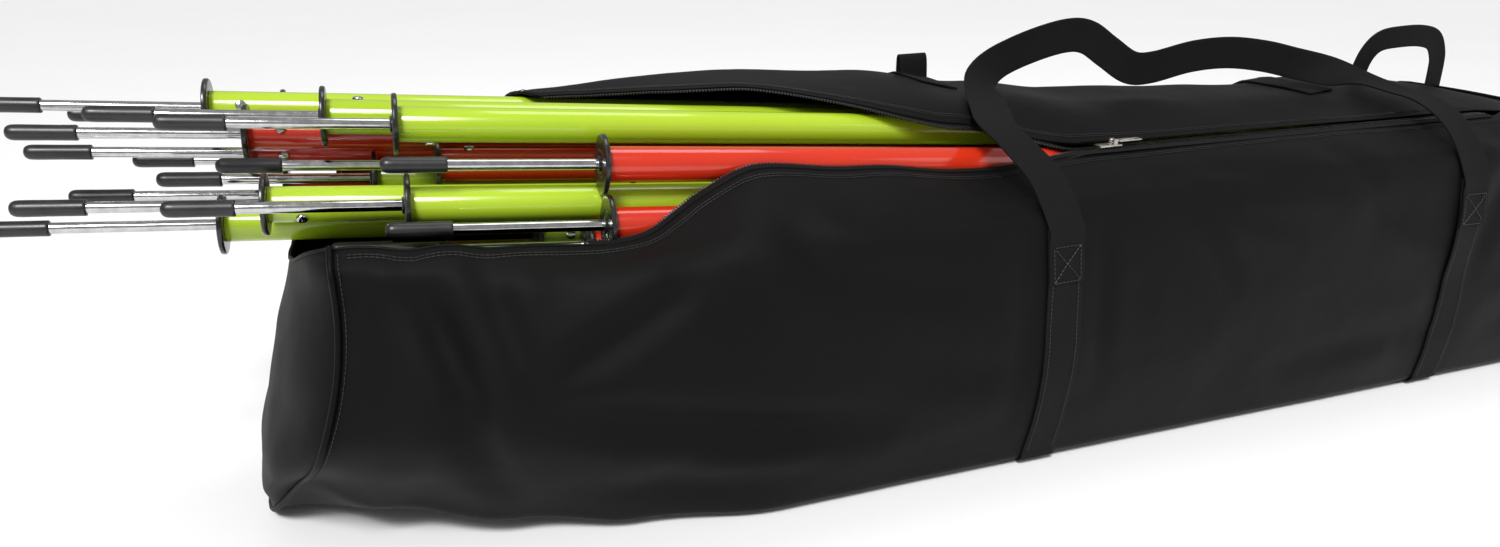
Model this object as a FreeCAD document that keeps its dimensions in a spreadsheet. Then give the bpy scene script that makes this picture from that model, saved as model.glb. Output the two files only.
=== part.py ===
"""Agility weave poles in their carry bag: a parametric FreeCAD document, in millimetres.

The bag lies along X with its open, spiked end towards -X. Y runs from the front wall to the
back wall, and +Z is up. The origin is on the floor, under the middle of the bundle's length.
Every pole leans down towards +X by the same small angle, so the poles slide past each other.
"""

import FreeCAD, Part
import math
import os
import re

import Sketcher

from FreeCAD import Placement, Rotation, Vector

DIMENSIONS = {
    # Pole: tube, foot, spike, tip and screw.
    "tube_radius": 16.0,
    "tube_bore_radius": 13.6,
    "tube_length": 1200.0,
    "disc_radius": 27.5,
    "disc_thickness": 5.0,
    "collar_radius": 7.5,
    "collar_height": 2.0,
    "plug_length": 40.0,
    "spike_radius": 5.0,
    "spike_embedded": 36.0,
    "spike_taper": 16.0,
    "spike_point_radius": 2.0,
    "tip_radius": 7.0,
    "tip_bore_radius": 5.05,
    "tip_length": 54.0,
    "tip_wall": 2.0,
    "spike_reach": 185.0,
    "edge_break": 0.6,
    "end_cap_length": 18.0,
    "end_cap_rim": 3.0,
    "screw_head_radius": 5.0,
    "screw_head_height": 3.2,
    "screw_head_edge": 2.0,
    "screw_shank_radius": 2.0,
    "screw_shank_length": 9.0,
    "screw_station": 27.0,
    "recess_width": 1.3,
    "recess_span": 5.4,
    "recess_depth": 1.8,
    "bundle_tilt": 4.5,
    "bundle_station": -545.0,
    # Bag: a soft box with a crowned top, lofted through three cross-sections.
    "bag_left": -710.0,
    "bag_middle": 180.0,
    "bag_right": 899.5,
    "bag_depth": 380.0,
    "bag_base": 2.5,
    "bag_wall": 3.0,
    "bag_fold_radius": 60.0,
    "front_height": 265.0,
    "zip_height": 312.0,
    "zip_line": -95.0,
    "zip_shelf_width": 26.0,
    "crown_height_left": 402.0,
    "crown_height_middle": 332.0,
    "crown_height_right": 318.0,
    "rim_height": 254.0,
    "flap_left": -410.0,
    "end_lean": 31.5,
    "end_fold_height": 150.0,
    "mouth_left_inset": 55.0,
    "mouth_shoulder_left": -355.0,
    "mouth_shoulder_right": -295.0,
    "mouth_back": 95.0,
    "mouth_end": 140.0,
    "tool_height": 460.0,
    # Zip, on the shelf of the crown.
    "zip_slot": 20.0,
    "zip_end": 735.0,
    "tape_thickness": 1.2,
    "tape_lap": 8.0,
    "tape_drop": 0.3,
    "rail_width": 2.6,
    "rail_height": 3.0,
    "rail_gap": 3.0,
    "slider_length": 28.0,
    "slider_width": 12.0,
    "slider_plate": 2.0,
    "slider_clearance": 0.4,
    "slider_post": 2.2,
    "ear_width": 1.6,
    "ear_gap": 5.0,
    "ear_height": 5.6,
    "hinge_pin_radius": 1.0,
    "pull_bore_radius": 1.06,
    "pull_length": 34.0,
    "pull_width": 9.0,
    "pull_thickness": 1.6,
    # Webbing: two bands round the bag, the carry handle, the end grab handle and a loop tab.
    "webbing_width": 40.0,
    "webbing_thickness": 2.5,
    "strap_left_station": 30.0,
    "strap_right_station": 600.0,
    "strap_top": 260.0,
    "handle_gap": 2.0,
    "handle_line": 60.0,
    "handle_centre": 335.0,
    "handle_half_span": 290.0,
    "handle_base_height": 320.0,
    "handle_rise": 92.0,
    "grab_line": 78.0,
    "grab_centre": 800.0,
    "grab_half_span": 80.0,
    "grab_rise": 78.0,
    "tab_width": 28.0,
    "tab_height": 34.0,
    "tab_thickness": 5.0,
    "tab_station": 45.0,
    "tab_line": 130.0,
}

# One row for each pole: colour, how far its disc sits along the bag from the bundle's reference
# station, how far back it lies, its height at that station, the screw's turn about the pole, and
# whether its pieces are separate nodes (the poles in sight) or one joined node (those behind).
POLES = [
    ("yellow", -165, 120, 358, 70, True),
    ("red", -130, 75, 342, 60, True),
    ("yellow", 0, -9, 368, 180, True),
    ("red", 33, 30, 322, 5, True),
    ("red", 171, -75, 346, 200, True),
    ("yellow", -25, 79, 298, 150, True),
    ("yellow", 2, -56, 306, 170, True),
    ("red", 169, -99, 296, 230, True),
    ("yellow", -115, -5, 295, 125, True),
    ("yellow", -158, 40, 265, 240, True),
    ("red", -135, 124, 314, 90, False),
    ("yellow", -105, 165, 342, 30, False),
    ("red", -110, 128, 270, 300, False),
    ("red", -60, 165, 297, 0, False),
    ("yellow", 118, -1, 250, 45, False),
    ("red", 40, 86, 254, 20, False),
    ("red", 158, -46, 261, 75, False),
    ("yellow", -60, 36, 366, 340, False),
]

doc = FreeCAD.newDocument("weave_poles")
parts = []


def fill_sheet():
    """Put every driving dimension in the spreadsheet under its own alias."""
    sheet = doc.addObject("Spreadsheet::Sheet", "Sizes")
    for row, (alias, value) in enumerate(DIMENSIONS.items(), start=1):
        sheet.set(f"A{row}", alias)
        sheet.set(f"B{row}", str(value))
        sheet.setAlias(f"B{row}", alias)
    doc.recompute()
    return sheet


sheet = fill_sheet()


def size(alias):
    """Read one driving dimension."""
    return float(getattr(sheet, alias))


def cells(text):
    """Turn alias names in an expression into references to the sheet."""
    return re.sub(r"[a-z_]+", lambda word: (
        f"Sizes.{word.group()}" if word.group() in DIMENSIONS else word.group()), text)


def node(shape_object, name):
    """Register an object as a finished sub-part, with the node's name as its label."""
    shape_object.Label = name
    parts.append(shape_object)
    return shape_object


def origin_plane(body, role):
    """Find one of the body's origin planes by its role."""
    return next(item for item in body.Origin.OriginFeatures if item.Role == role)


def polygon_sketch(body, name, plane, points):
    """Sketch a closed polygon whose corners are driven by the sheet.

    Each point is a pair of expressions, across and up. They are solved first, so the sketch
    starts near its final shape.
    """
    sketch = body.newObject("Sketcher::SketchObject", name)
    sketch.AttachmentSupport = (origin_plane(body, plane), "")
    sketch.MapMode = "FlatFace"
    values = [(evaluate(across), evaluate(up)) for across, up in points]
    count = len(points)
    for index in range(count):
        start = Vector(*values[index], 0)
        end = Vector(*values[(index + 1) % count], 0)
        sketch.addGeometry(Part.LineSegment(start, end), False)
    for index in range(count):
        sketch.addConstraint(Sketcher.Constraint("Coincident", index, 2, (index + 1) % count, 1))
    for index, (across, up) in enumerate(points):
        for kind, text, value in (("X", across, values[index][0]), ("Y", up, values[index][1])):
            number = sketch.addConstraint(
                Sketcher.Constraint(f"Distance{kind}", -1, 1, index, 1, value)
            )
            sketch.setExpression(f"Constraints[{number}]", cells(text))
    return sketch


def evaluate(text):
    """Work out an expression in the sheet's aliases as a plain number."""
    value = sheet.evalExpression(cells(text))
    return float(getattr(value, "Value", value))


def revolved(name, points):
    """Revolve a closed outline of axial and radial expressions about the local X axis."""
    body = doc.addObject("PartDesign::Body", name)
    sketch = polygon_sketch(body, f"{name}_outline", "XY_Plane", points)
    turn = body.newObject("PartDesign::Revolution", f"{name}_turned")
    turn.Profile = sketch
    turn.ReferenceAxis = (sketch, ["H_Axis"])
    turn.Angle = 360.0
    sketch.Visibility = False
    doc.recompute()
    return body


def box(name, corner, extent):
    """Make a box from the expressions of its low corner and its extents."""
    block = doc.addObject("Part::Box", name)
    for side, text in zip(("Length", "Width", "Height"), extent):
        block.setExpression(side, cells(text))
    for letter, text in zip("xyz", corner):
        block.setExpression(f"Placement.Base.{letter}", cells(text))
    return block


def cylinder(name, radius, length, centre, direction):
    """Make a cylinder from expressions; its axis starts at the centre and runs along direction."""
    rod = doc.addObject("Part::Cylinder", name)
    rod.Placement = Placement(Vector(), Rotation(Vector(0, 0, 1), direction))
    rod.setExpression("Radius", cells(radius))
    rod.setExpression("Height", cells(length))
    for letter, text in zip("xyz", centre):
        rod.setExpression(f"Placement.Base.{letter}", cells(text))
    return rod


def cut(name, base, *tools):
    """Cut one or more tools from a base."""
    result = base
    for index, tool in enumerate(tools, start=1):
        step = doc.addObject("Part::Cut", name if index == len(tools) else f"{name}_cut_{index}")
        step.Base = result
        step.Tool = tool
        result = step
    return result


def fused(name, pieces):
    """Fuse pieces into one solid."""
    union = doc.addObject("Part::MultiFuse", name)
    union.Shapes = pieces
    union.Refine = True
    return union


def prism(name, facing, points, low, high):
    """Extrude a polygon of expressions from low to high along the plane's normal."""
    outline = doc.addObject("PartDesign::Body", name)
    role = {"top": "XY_Plane", "front": "XZ_Plane", "side": "YZ_Plane"}[facing]
    sketch = polygon_sketch(outline, f"{name}_outline", role, points)
    sketch.setExpression("AttachmentOffset.Base.z", cells(low))
    pad = outline.newObject("PartDesign::Pad", f"{name}_pad")
    pad.Profile = sketch
    pad.setExpression("Length", cells(f"( {high} ) - ( {low} )"))
    doc.recompute()
    return outline


def rounded(name, base, radius, wanted):
    """Round the edges of an object's shape that pass a test."""
    doc.recompute()
    rounding = doc.addObject("Part::Fillet", name)
    rounding.Base = base
    value = evaluate(radius)
    rounding.Edges = [(i, value, value) for i, edge in enumerate(base.Shape.Edges, 1)
                      if wanted(edge)]
    return rounding


def edge_names(shape_object, wanted):
    """Name the edges of an object's shape that pass a test."""
    return [f"Edge{i}" for i, edge in enumerate(shape_object.Shape.Edges, 1) if wanted(edge)]


# ---------------------------------------------------------------------------------------------
# One pole, along local X: the tube's foot end is at zero and its top end towards +X.
# ---------------------------------------------------------------------------------------------


def make_tube():
    """The plastic tube, with the screw's hole through its upper wall."""
    barrel = revolved("tube_barrel", [
        ("0", "tube_bore_radius"), ("0", "tube_radius"),
        ("tube_length", "tube_radius"), ("tube_length", "tube_bore_radius"),
    ])
    hole = cylinder("tube_screw_hole", "screw_shank_radius", "tube_radius",
                    ("screw_station", "0", "spike_radius"), Vector(0, 0, 1))
    return cut("tube_shape", barrel, hole)


def make_plugs():
    """The disc with its collar, the foot plug behind it, and the cap at the tube's top end."""
    disc = revolved("foot_disc_turned", [
        ("- disc_thickness - collar_height", "spike_radius"),
        ("- disc_thickness - collar_height", "collar_radius"),
        ("- disc_thickness", "collar_radius"),
        ("- disc_thickness", "disc_radius - edge_break"),
        ("- disc_thickness + edge_break", "disc_radius"),
        ("- edge_break", "disc_radius"),
        ("0", "disc_radius - edge_break"),
        ("0", "spike_radius"),
    ])
    plug = revolved("foot_plug_turned", [
        ("0", "spike_radius"), ("0", "tube_bore_radius"),
        ("plug_length", "tube_bore_radius"), ("plug_length", "spike_radius"),
    ])
    hole = cylinder("foot_screw_hole", "screw_shank_radius", "tube_radius",
                    ("screw_station", "0", "spike_radius"), Vector(0, 0, 1))
    end_cap = revolved("end_cap_turned", [
        ("tube_length - end_cap_length", "0"),
        ("tube_length - end_cap_length", "tube_bore_radius"),
        ("tube_length", "tube_bore_radius"),
        ("tube_length", "tube_radius"),
        ("tube_length + end_cap_rim - edge_break", "tube_radius"),
        ("tube_length + end_cap_rim", "tube_radius - edge_break"),
        ("tube_length + end_cap_rim", "0"),
    ])
    return [disc, cut("foot_plug_shape", plug, hole), end_cap]


def make_spike():
    """The steel spike, tapered at its hidden point, and the screw that locks the foot plug."""
    point = "- disc_thickness - spike_reach + tip_wall + edge_break"
    rod = revolved("spike_turned", [
        ("spike_embedded", "0"), ("spike_embedded", "spike_radius"),
        (f"{point} + spike_taper", "spike_radius"),
        (point, "spike_point_radius"), (point, "0"),
    ])
    head = cylinder("screw_head", "screw_head_radius", "screw_head_height",
                    ("screw_station", "0", "tube_radius"), Vector(0, 0, 1))
    top = size("tube_radius") + size("screw_head_height")
    crown = rounded("screw_head_crowned", head, "screw_head_edge",
                    lambda edge: edge.Closed and edge.BoundBox.ZMin > top - 1e-3)
    recess_floor = "tube_radius + screw_head_height - recess_depth"
    slots = [
        box(f"recess_{name}", (f"screw_station - {along} / 2", f"- {across} / 2", recess_floor),
            (along, across, "screw_head_height"))
        for name, along, across in (("along", "recess_span", "recess_width"),
                                    ("across", "recess_width", "recess_span"))
    ]
    recessed = cut("screw_head_recessed", crown, *slots)
    shank = cylinder("screw_shank", "screw_shank_radius", "screw_shank_length",
                     ("screw_station", "0", "tube_radius - screw_shank_length"), Vector(0, 0, 1))
    return [rod, fused("screw_shape", [recessed, shank])]


def make_tip():
    """The vinyl cap over the spike's end, closed and rounded at the point."""
    far_end = "- disc_thickness - spike_reach"
    body = revolved("tip_turned", [
        (f"{far_end} + tip_length", "tip_bore_radius"),
        (f"{far_end} + tip_length", "tip_radius - edge_break"),
        (f"{far_end} + tip_length - edge_break", "tip_radius"),
        (far_end, "tip_radius"), (far_end, "0"),
        (f"{far_end} + tip_wall", "0"), (f"{far_end} + tip_wall", "tip_bore_radius"),
    ])
    end = -size("disc_thickness") - size("spike_reach")
    turned = body.Tip
    rounding = body.newObject("PartDesign::Fillet", "tip_rounded")
    rounding.Base = (turned, edge_names(
        turned, lambda edge: edge.Closed and edge.BoundBox.XMax < end + 1e-3))
    rounding.setExpression("Radius", cells("tip_radius - 3 * edge_break"))
    doc.recompute()
    return body


def pole_placement(station, back, height, turn):
    """Stand a pole in the bundle: disc station, distance back, height, and turn about itself."""
    tilt = size("bundle_tilt")
    place = Vector(size("bundle_station") + station, back,
                   height - station * math.tan(math.radians(tilt)))
    lean = Rotation(Vector(0, 1, 0), tilt)
    return Placement(place, lean.multiply(Rotation(Vector(1, 0, 0), turn)))


def placed(name, shapes, placement):
    """Place a group of finished solids as one node."""
    group = doc.addObject("Part::Compound", name)
    group.Links = shapes
    group.Placement = placement
    return node(group, name)


def make_poles():
    """The bundle: separate nodes for the poles in sight, one joined node for each behind."""
    tube, plugs, spike, tip = make_tube(), make_plugs(), make_spike(), make_tip()
    for number, (colour, station, back, height, turn, in_sight) in enumerate(POLES, start=1):
        placement = pole_placement(station, back, height, turn)
        if in_sight:
            placed(f"tube_{number:02d}", [tube], placement)
            placed(f"plugs_{number:02d}", plugs, placement)
            placed(f"spike_{number:02d}", spike, placement)
            placed(f"tip_{number:02d}", [tip], placement)
        else:
            placed(f"pole_{number:02d}", [tube, *plugs, *spike, tip], placement)


# ---------------------------------------------------------------------------------------------
# The bag: a sewn shell with a crowned top, a mouth along the left half and a low left end.
# ---------------------------------------------------------------------------------------------


def bag_volume(name, inset):
    """The bag's rounded outline, moved inwards by an inset.

    A block is folded at the base, sloped along its crown, and cut down in front to the zip's
    shelf and the low front wall.
    """
    half = f"bag_depth / 2 - {inset}"
    block = box(f"{name}_block", (f"bag_left + {inset}", f"- ( {half} )", f"bag_base + {inset}"),
                (f"bag_right - bag_left - 2 * {inset}", f"2 * ( {half} )",
                 f"crown_height_left - bag_base - 2 * {inset}"))
    base_folds = rounded(f"{name}_folds", block, f"bag_fold_radius - {inset}", lambda edge: (
        edge.BoundBox.XLength > 1 and edge.BoundBox.ZMax < block.Shape.BoundBox.ZMin + 1e-3))
    crown = prism(f"{name}_above_crown", "front", [
        ("bag_left", f"crown_height_left - {inset}"),
        ("bag_middle", f"crown_height_middle - {inset}"),
        ("bag_right", f"crown_height_right - {inset}"),
        ("bag_right", "tool_height"), ("bag_left", "tool_height"),
    ], "- bag_depth", "bag_depth")
    sloped = cut(f"{name}_sloped", base_folds, crown)
    shelf_back = "zip_line + zip_shelf_width / 2"
    front = prism(f"{name}_above_front", "side", [
        ("- bag_depth / 2", f"front_height - {inset}"),
        ("zip_line - zip_shelf_width / 2", f"zip_height - {inset}"),
        (shelf_back, f"zip_height - {inset}"),
        (f"{shelf_back} + tool_height - zip_height", f"tool_height - {inset}"),
        ("- bag_depth / 2", f"tool_height - {inset}"),
    ], "bag_left", "bag_right")
    return cut(name, sloped, front)


def leaning_end(name, shift):
    """The space to the left of the leaning end panel, shifted along X."""
    rise = "( tool_height - end_fold_height ) * tan( end_lean * 1 deg )"
    foot = f"bag_left + {shift}"
    return prism(name, "front", [
        (foot, "end_fold_height"), (f"{foot} + {rise}", "tool_height"),
        ("bag_left - bag_wall", "tool_height"), ("bag_left - bag_wall", "end_fold_height"),
    ], "- bag_depth", "bag_depth")


def make_bag_body(outer):
    """Hollow the bag, open the mouth along its left half and cut the rim down at the left end."""
    inner = bag_volume("bag_inside", "bag_wall")
    shift = "bag_wall / cos( end_lean * 1 deg )"
    leant = cut("bag_outer_leant", outer, leaning_end("end_space", "0"))
    hollow = cut("bag_inside_leant", inner, leaning_end("end_space_inside", shift))
    mouth_front = "zip_line - zip_slot / 2"
    mouth_back = "zip_line + zip_slot / 2"
    shoulder = "- ( bag_depth / 2 - mouth_left_inset )"
    mouth = prism("mouth", "top", [
        ("flap_left", shoulder), ("mouth_shoulder_left", shoulder),
        ("mouth_shoulder_right", mouth_front), ("mouth_end", mouth_front),
        ("mouth_end", mouth_back), ("flap_left", "mouth_back"),
    ], "rim_height", "tool_height")
    rim = box("rim_space", ("bag_left - bag_wall", "- bag_depth", "rim_height"),
              ("flap_left - bag_left + bag_wall", "bag_depth * 2", "tool_height"))
    slot = box("zip_slot_space", ("mouth_end", mouth_front, "rim_height"),
               ("zip_end - mouth_end", "zip_slot", "tool_height"))
    node(cut("bag_body", cut("bag_opened", leant, mouth, rim, slot), hollow), "bag_body")


# ---------------------------------------------------------------------------------------------
# The zip: two tapes with their rails of teeth, the slider and its pull.
# ---------------------------------------------------------------------------------------------

TAPE_LOW = "zip_height - bag_wall / 2 - tape_thickness / 2"
RAIL_LOW = "zip_height - bag_wall / 2 - rail_height / 2"
SLIDER_TOP = f"{RAIL_LOW} + rail_height + slider_clearance"
HINGE_STATION = "mouth_end + tape_lap + slider_length * 0.75"
HINGE_HEIGHT = f"{SLIDER_TOP} + slider_plate + ear_height / 2 + hinge_pin_radius / 2"


def closed_tape(side, start):
    """One tape with its rail, straight along the zip's line from a start to the zip's end."""
    web_width = "zip_slot / 2 - rail_gap / 2 - rail_width"
    low, rail = {
        "front": ("zip_line - zip_slot / 2", "zip_line - rail_gap / 2 - rail_width"),
        "back": ("zip_line + rail_gap / 2 + rail_width", "zip_line + rail_gap / 2"),
    }[side]
    return [
        box(f"web_{side}", (start, low, TAPE_LOW),
            (f"zip_end - ( {start} )", web_width, "tape_thickness")),
        box(f"rail_{side}", (start, rail, RAIL_LOW),
            (f"zip_end - ( {start} )", "rail_width", "rail_height")),
    ]


def crown_height(station):
    """Height of the sloping crown over the bag's left part."""
    left, middle = size("bag_left"), size("bag_middle")
    low, high = size("crown_height_middle"), size("crown_height_left")
    return low + (high - low) * (middle - station) / (middle - left)


def open_tape(name, start, end):
    """A straight stretch of tape along the mouth's back edge, between two points on the edge."""
    run = end - start
    strip = doc.addObject("Part::Box", name)
    strip.Length = run.Length
    strip.setExpression("Width", cells("zip_slot / 2 - rail_gap / 2"))
    strip.setExpression("Height", cells("tape_thickness * 2"))
    along = Vector(run).normalize()
    across = along.cross(Vector(0, 0, 1)).normalize().negative()
    up = along.cross(across)
    drop = Vector(0, 0, -size("bag_wall") + size("tape_drop"))
    frame = Rotation(along, across, up, "XZY")
    strip.Placement = Placement(start + drop, frame)
    return strip


def make_zip():
    """The tapes, the slider on its rails and the pull on its pin."""
    node(fused("zip_tape_front", closed_tape("front", "mouth_shoulder_right")), "zip_tape_front")

    edge = size("zip_line") + size("zip_slot") / 2
    shelf = size("zip_line") + size("zip_shelf_width") / 2
    mouth_end, flap_left = size("mouth_end"), size("flap_left")
    slope = (size("mouth_back") - edge) / (mouth_end - flap_left)
    fall = (crown_height(flap_left) - crown_height(mouth_end)) / (mouth_end - flap_left)
    climb = crown_height(mouth_end) - size("zip_height") + shelf - edge
    knee = mouth_end - climb / (slope - fall)
    lap = size("tape_lap")
    corners = [
        Vector(mouth_end + lap, edge - slope * lap, size("zip_height")),
        Vector(knee, edge + slope * (mouth_end - knee), crown_height(knee)),
        Vector(flap_left, size("mouth_back"), crown_height(flap_left)),
    ]
    open_stretches = [open_tape(f"open_tape_{i}", a, b)
                      for i, (a, b) in enumerate(zip(corners, corners[1:]), 1)]
    tape = fused("zip_tape_back", closed_tape("back", "mouth_end") + open_stretches)
    node(tape, "zip_tape_back")

    left = "mouth_end + tape_lap + slider_clearance"
    plates = [
        box("slider_top", (left, "zip_line - slider_width / 2", SLIDER_TOP),
            ("slider_length", "slider_width", "slider_plate")),
        box("slider_bottom", (left, "zip_line - slider_width / 2",
                              f"{RAIL_LOW} - slider_clearance - slider_plate"),
            ("slider_length", "slider_width", "slider_plate")),
        box("slider_nose", (left, "zip_line - slider_post / 2",
                            f"{RAIL_LOW} - slider_clearance"),
            ("slider_length / 3", "slider_post", "rail_height + 2 * slider_clearance")),
    ]
    ears = [
        box(f"ear_{side}", (f"{HINGE_STATION} - ear_height / 2", low,
                            f"{SLIDER_TOP} + slider_plate"),
            ("ear_height", "ear_width", "ear_height"))
        for side, low in (("front", "zip_line - ear_gap / 2 - ear_width"),
                          ("back", "zip_line + ear_gap / 2"))
    ]
    pin = cylinder("hinge_pin", "hinge_pin_radius", "ear_gap",
                   (HINGE_STATION, "zip_line - ear_gap / 2", HINGE_HEIGHT), Vector(0, 1, 0))
    node(fused("zip_slider", plates + ears + [pin]), "zip_slider")

    knuckle_width = "ear_gap - 2 * slider_clearance"
    knuckle = cylinder("pull_knuckle", "pull_bore_radius + pull_thickness / 2", knuckle_width,
                       (HINGE_STATION, f"zip_line - ( {knuckle_width} ) / 2", HINGE_HEIGHT),
                       Vector(0, 1, 0))
    neck = box("pull_neck", (HINGE_STATION, f"zip_line - ( {knuckle_width} ) / 2",
                             f"{HINGE_HEIGHT} - pull_thickness / 2"),
               ("ear_height + pull_thickness", knuckle_width, "pull_thickness"))
    blade = box("pull_blade", (f"{HINGE_STATION} + ear_height", "zip_line - pull_width / 2",
                               f"{HINGE_HEIGHT} - pull_thickness / 2"),
                ("pull_length - ear_height", "pull_width", "pull_thickness"))
    bore = cylinder("pull_bore", "pull_bore_radius", "ear_gap",
                    (HINGE_STATION, "zip_line - ear_gap / 2", HINGE_HEIGHT), Vector(0, 1, 0))
    window = box("pull_window", (f"{HINGE_STATION} + ear_height * 1.6",
                                 "zip_line - pull_width / 4",
                                 f"{HINGE_HEIGHT} - pull_thickness"),
                 ("pull_length - ear_height * 2.4", "pull_width / 2", "pull_thickness * 2"))
    handle = fused("pull_solid", [knuckle, neck, blade])
    node(cut("zip_pull", handle, bore, window), "zip_pull")


# ---------------------------------------------------------------------------------------------
# The webbing.
# ---------------------------------------------------------------------------------------------


def folded_block(name, station, spread, low):
    """A block one webbing wide whose two bottom edges along X are rounded."""
    half = f"bag_depth / 2 + {spread}"
    block = box(f"{name}_block", (f"{station} - webbing_width / 2", f"- ( {half} )", low),
                ("webbing_width", f"2 * ( {half} )", f"strap_top - ( {low} )"))
    return rounded(name, block, f"bag_fold_radius + {spread}", lambda edge: (
        edge.BoundBox.XLength > 1 and edge.BoundBox.ZMax < block.Shape.BoundBox.ZMin + 1e-3))


def make_strap(name, station):
    """A band of webbing sewn down the front, under the base and up the back."""
    band = folded_block(f"{name}_outer", station, "webbing_thickness", "0")
    core = folded_block(f"{name}_core", station, "0", "bag_base")
    node(cut(name, band, core), name)


def ellipse_block(name, centre, line, across, rise):
    """An upright elliptical disc of webbing thickness, facing the front."""
    ring = doc.addObject("Part::Ellipse", f"{name}_outline")
    ring.Placement = Placement(Vector(), Rotation(Vector(1, 0, 0), 90))
    ring.setExpression("MajorRadius", cells(across))
    ring.setExpression("MinorRadius", cells(rise))
    ring.setExpression("Placement.Base.x", cells(centre))
    ring.setExpression("Placement.Base.y", cells(line))
    ring.setExpression("Placement.Base.z", cells("handle_base_height"))
    block = doc.addObject("Part::Extrusion", name)
    block.Base = ring
    block.DirMode = "Custom"
    block.Dir = Vector(0, 1, 0)
    block.setExpression("LengthFwd", cells("webbing_thickness"))
    block.Solid = True
    return block


def make_handle(name, centre, line, across, rise, lifted_bag):
    """An arched handle of webbing on edge, its feet just clear of the bag's crown."""
    arch = cut(f"{name}_arch",
               ellipse_block(f"{name}_outer", centre, line, across, rise),
               ellipse_block(f"{name}_inner", centre, line, f"{across} - webbing_width",
                             f"{rise} - webbing_width"))
    node(cut(name, arch, lifted_bag), name)


def make_webbing(outer):
    """Both bands, the carry handle, the end grab handle and the loop tab."""
    make_strap("strap_left", "strap_left_station")
    make_strap("strap_right", "strap_right_station")
    lifted = doc.addObject("Part::Compound", "bag_lifted")
    lifted.Links = [outer]
    lifted.setExpression("Placement.Base.z", cells("handle_gap"))
    make_handle("carry_handle", "handle_centre", "handle_line", "handle_half_span",
                "handle_rise", lifted)
    make_handle("grab_handle", "grab_centre", "grab_line", "grab_half_span",
                "grab_rise", lifted)
    tab = box("tab_block", ("tab_station - tab_width / 2", "tab_line", "zip_height"),
              ("tab_width", "tab_thickness",
               "crown_height_middle + tab_height - zip_height"))
    node(cut("loop_tab", tab, outer), "loop_tab")


def check_document():
    """Stop if any object failed, or if any sub-part has no valid shape."""
    for item in doc.Objects:
        if "Invalid" in item.State or "Error" in item.State:
            raise RuntimeError(f"{item.Label} failed: {item.State}")
    for part in parts:
        if part.Shape.isNull() or not part.Shape.isValid():
            raise RuntimeError(f"{part.Label} has no valid shape")


def main():
    """Build the model and write one STEP file for each sub-part."""
    outer = bag_volume("bag_outer", "0")
    make_bag_body(outer)
    make_zip()
    make_webbing(outer)
    make_poles()
    doc.recompute()
    check_document()
    os.makedirs("parts", exist_ok=True)
    for part in parts:
        part.Shape.exportStep(os.path.join("parts", f"{part.Label}.step"))
        print(f"{part.Label}: {len(part.Shape.Solids)} solid(s), {part.Shape.Volume:.0f} mm3")


main()
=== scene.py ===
"""A bundle of training weave poles in their black carry bag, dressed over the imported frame."""

import logging
import math
from bisect import bisect_right
from dataclasses import dataclass, field
from enum import Enum
from typing import Callable, Sequence

import bmesh
import bpy
from mathutils import Matrix, Vector, noise


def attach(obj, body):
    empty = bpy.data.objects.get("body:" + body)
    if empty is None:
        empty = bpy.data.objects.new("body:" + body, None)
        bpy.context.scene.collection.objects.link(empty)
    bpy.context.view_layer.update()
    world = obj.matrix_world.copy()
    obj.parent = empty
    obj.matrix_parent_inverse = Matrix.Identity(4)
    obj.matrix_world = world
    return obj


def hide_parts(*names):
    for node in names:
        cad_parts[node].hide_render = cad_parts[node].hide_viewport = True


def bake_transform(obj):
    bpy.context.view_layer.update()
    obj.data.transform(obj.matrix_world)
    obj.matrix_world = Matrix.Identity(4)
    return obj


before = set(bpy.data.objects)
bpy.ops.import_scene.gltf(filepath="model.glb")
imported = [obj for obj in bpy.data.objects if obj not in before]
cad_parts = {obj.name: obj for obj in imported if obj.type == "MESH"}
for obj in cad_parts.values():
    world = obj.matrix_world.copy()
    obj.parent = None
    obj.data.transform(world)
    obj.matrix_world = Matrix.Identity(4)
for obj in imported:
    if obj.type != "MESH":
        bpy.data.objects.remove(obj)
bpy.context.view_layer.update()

MM = 0.001
# The Wave texture repeats at this many metres when its scale is 1.
WAVE_AT_ONE_METRE = 0.314159
LOG = logging.getLogger("weave_poles")


def blend_value(stops: Sequence[tuple[float, float]], x: float) -> float:
    """Read a smooth curve through stops at x.

    Args:
        stops: pairs of position and value, in rising order of position.
        x: where the curve is read.

    Returns:
        The value, held at the first and last stops outside them.
    """
    if x <= stops[0][0]:
        return stops[0][1]
    if x >= stops[-1][0]:
        return stops[-1][1]
    index = bisect_right([stop[0] for stop in stops], x) - 1
    (x0, v0), (x1, v1) = stops[index], stops[index + 1]
    t = (x - x0) / (x1 - x0)
    return v0 + (v1 - v0) * t * t * (3 - 2 * t)


def catmull(points: Sequence[Vector], t: float) -> Vector:
    """Read a smooth curve that passes through every point.

    Args:
        points: the points, one unit of t apart.
        t: the place along the curve, from 0 to the number of points less one.

    Returns:
        The point at t.
    """
    last = len(points) - 1
    index = min(max(int(t), 0), last - 1)
    s = t - index
    before = points[max(index - 1, 0)]
    start, end = points[index], points[index + 1]
    after = points[min(index + 2, last)]
    return 0.5 * (
        2 * start + (end - before) * s
        + (2 * before - 5 * start + 4 * end - after) * s * s
        + (3 * start - 3 * end + after - before) * s * s * s
    )


def smooth_shade(mesh: bpy.types.Mesh, angle: float = 40.0) -> None:
    """Shade a mesh smooth, with edges sharper than angle left crisp."""
    mesh.shade_smooth()
    mesh.set_sharp_from_angle(angle=math.radians(angle))


# ---------------------------------------------------------------------------------------------
# Finishes.
# ---------------------------------------------------------------------------------------------


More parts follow.
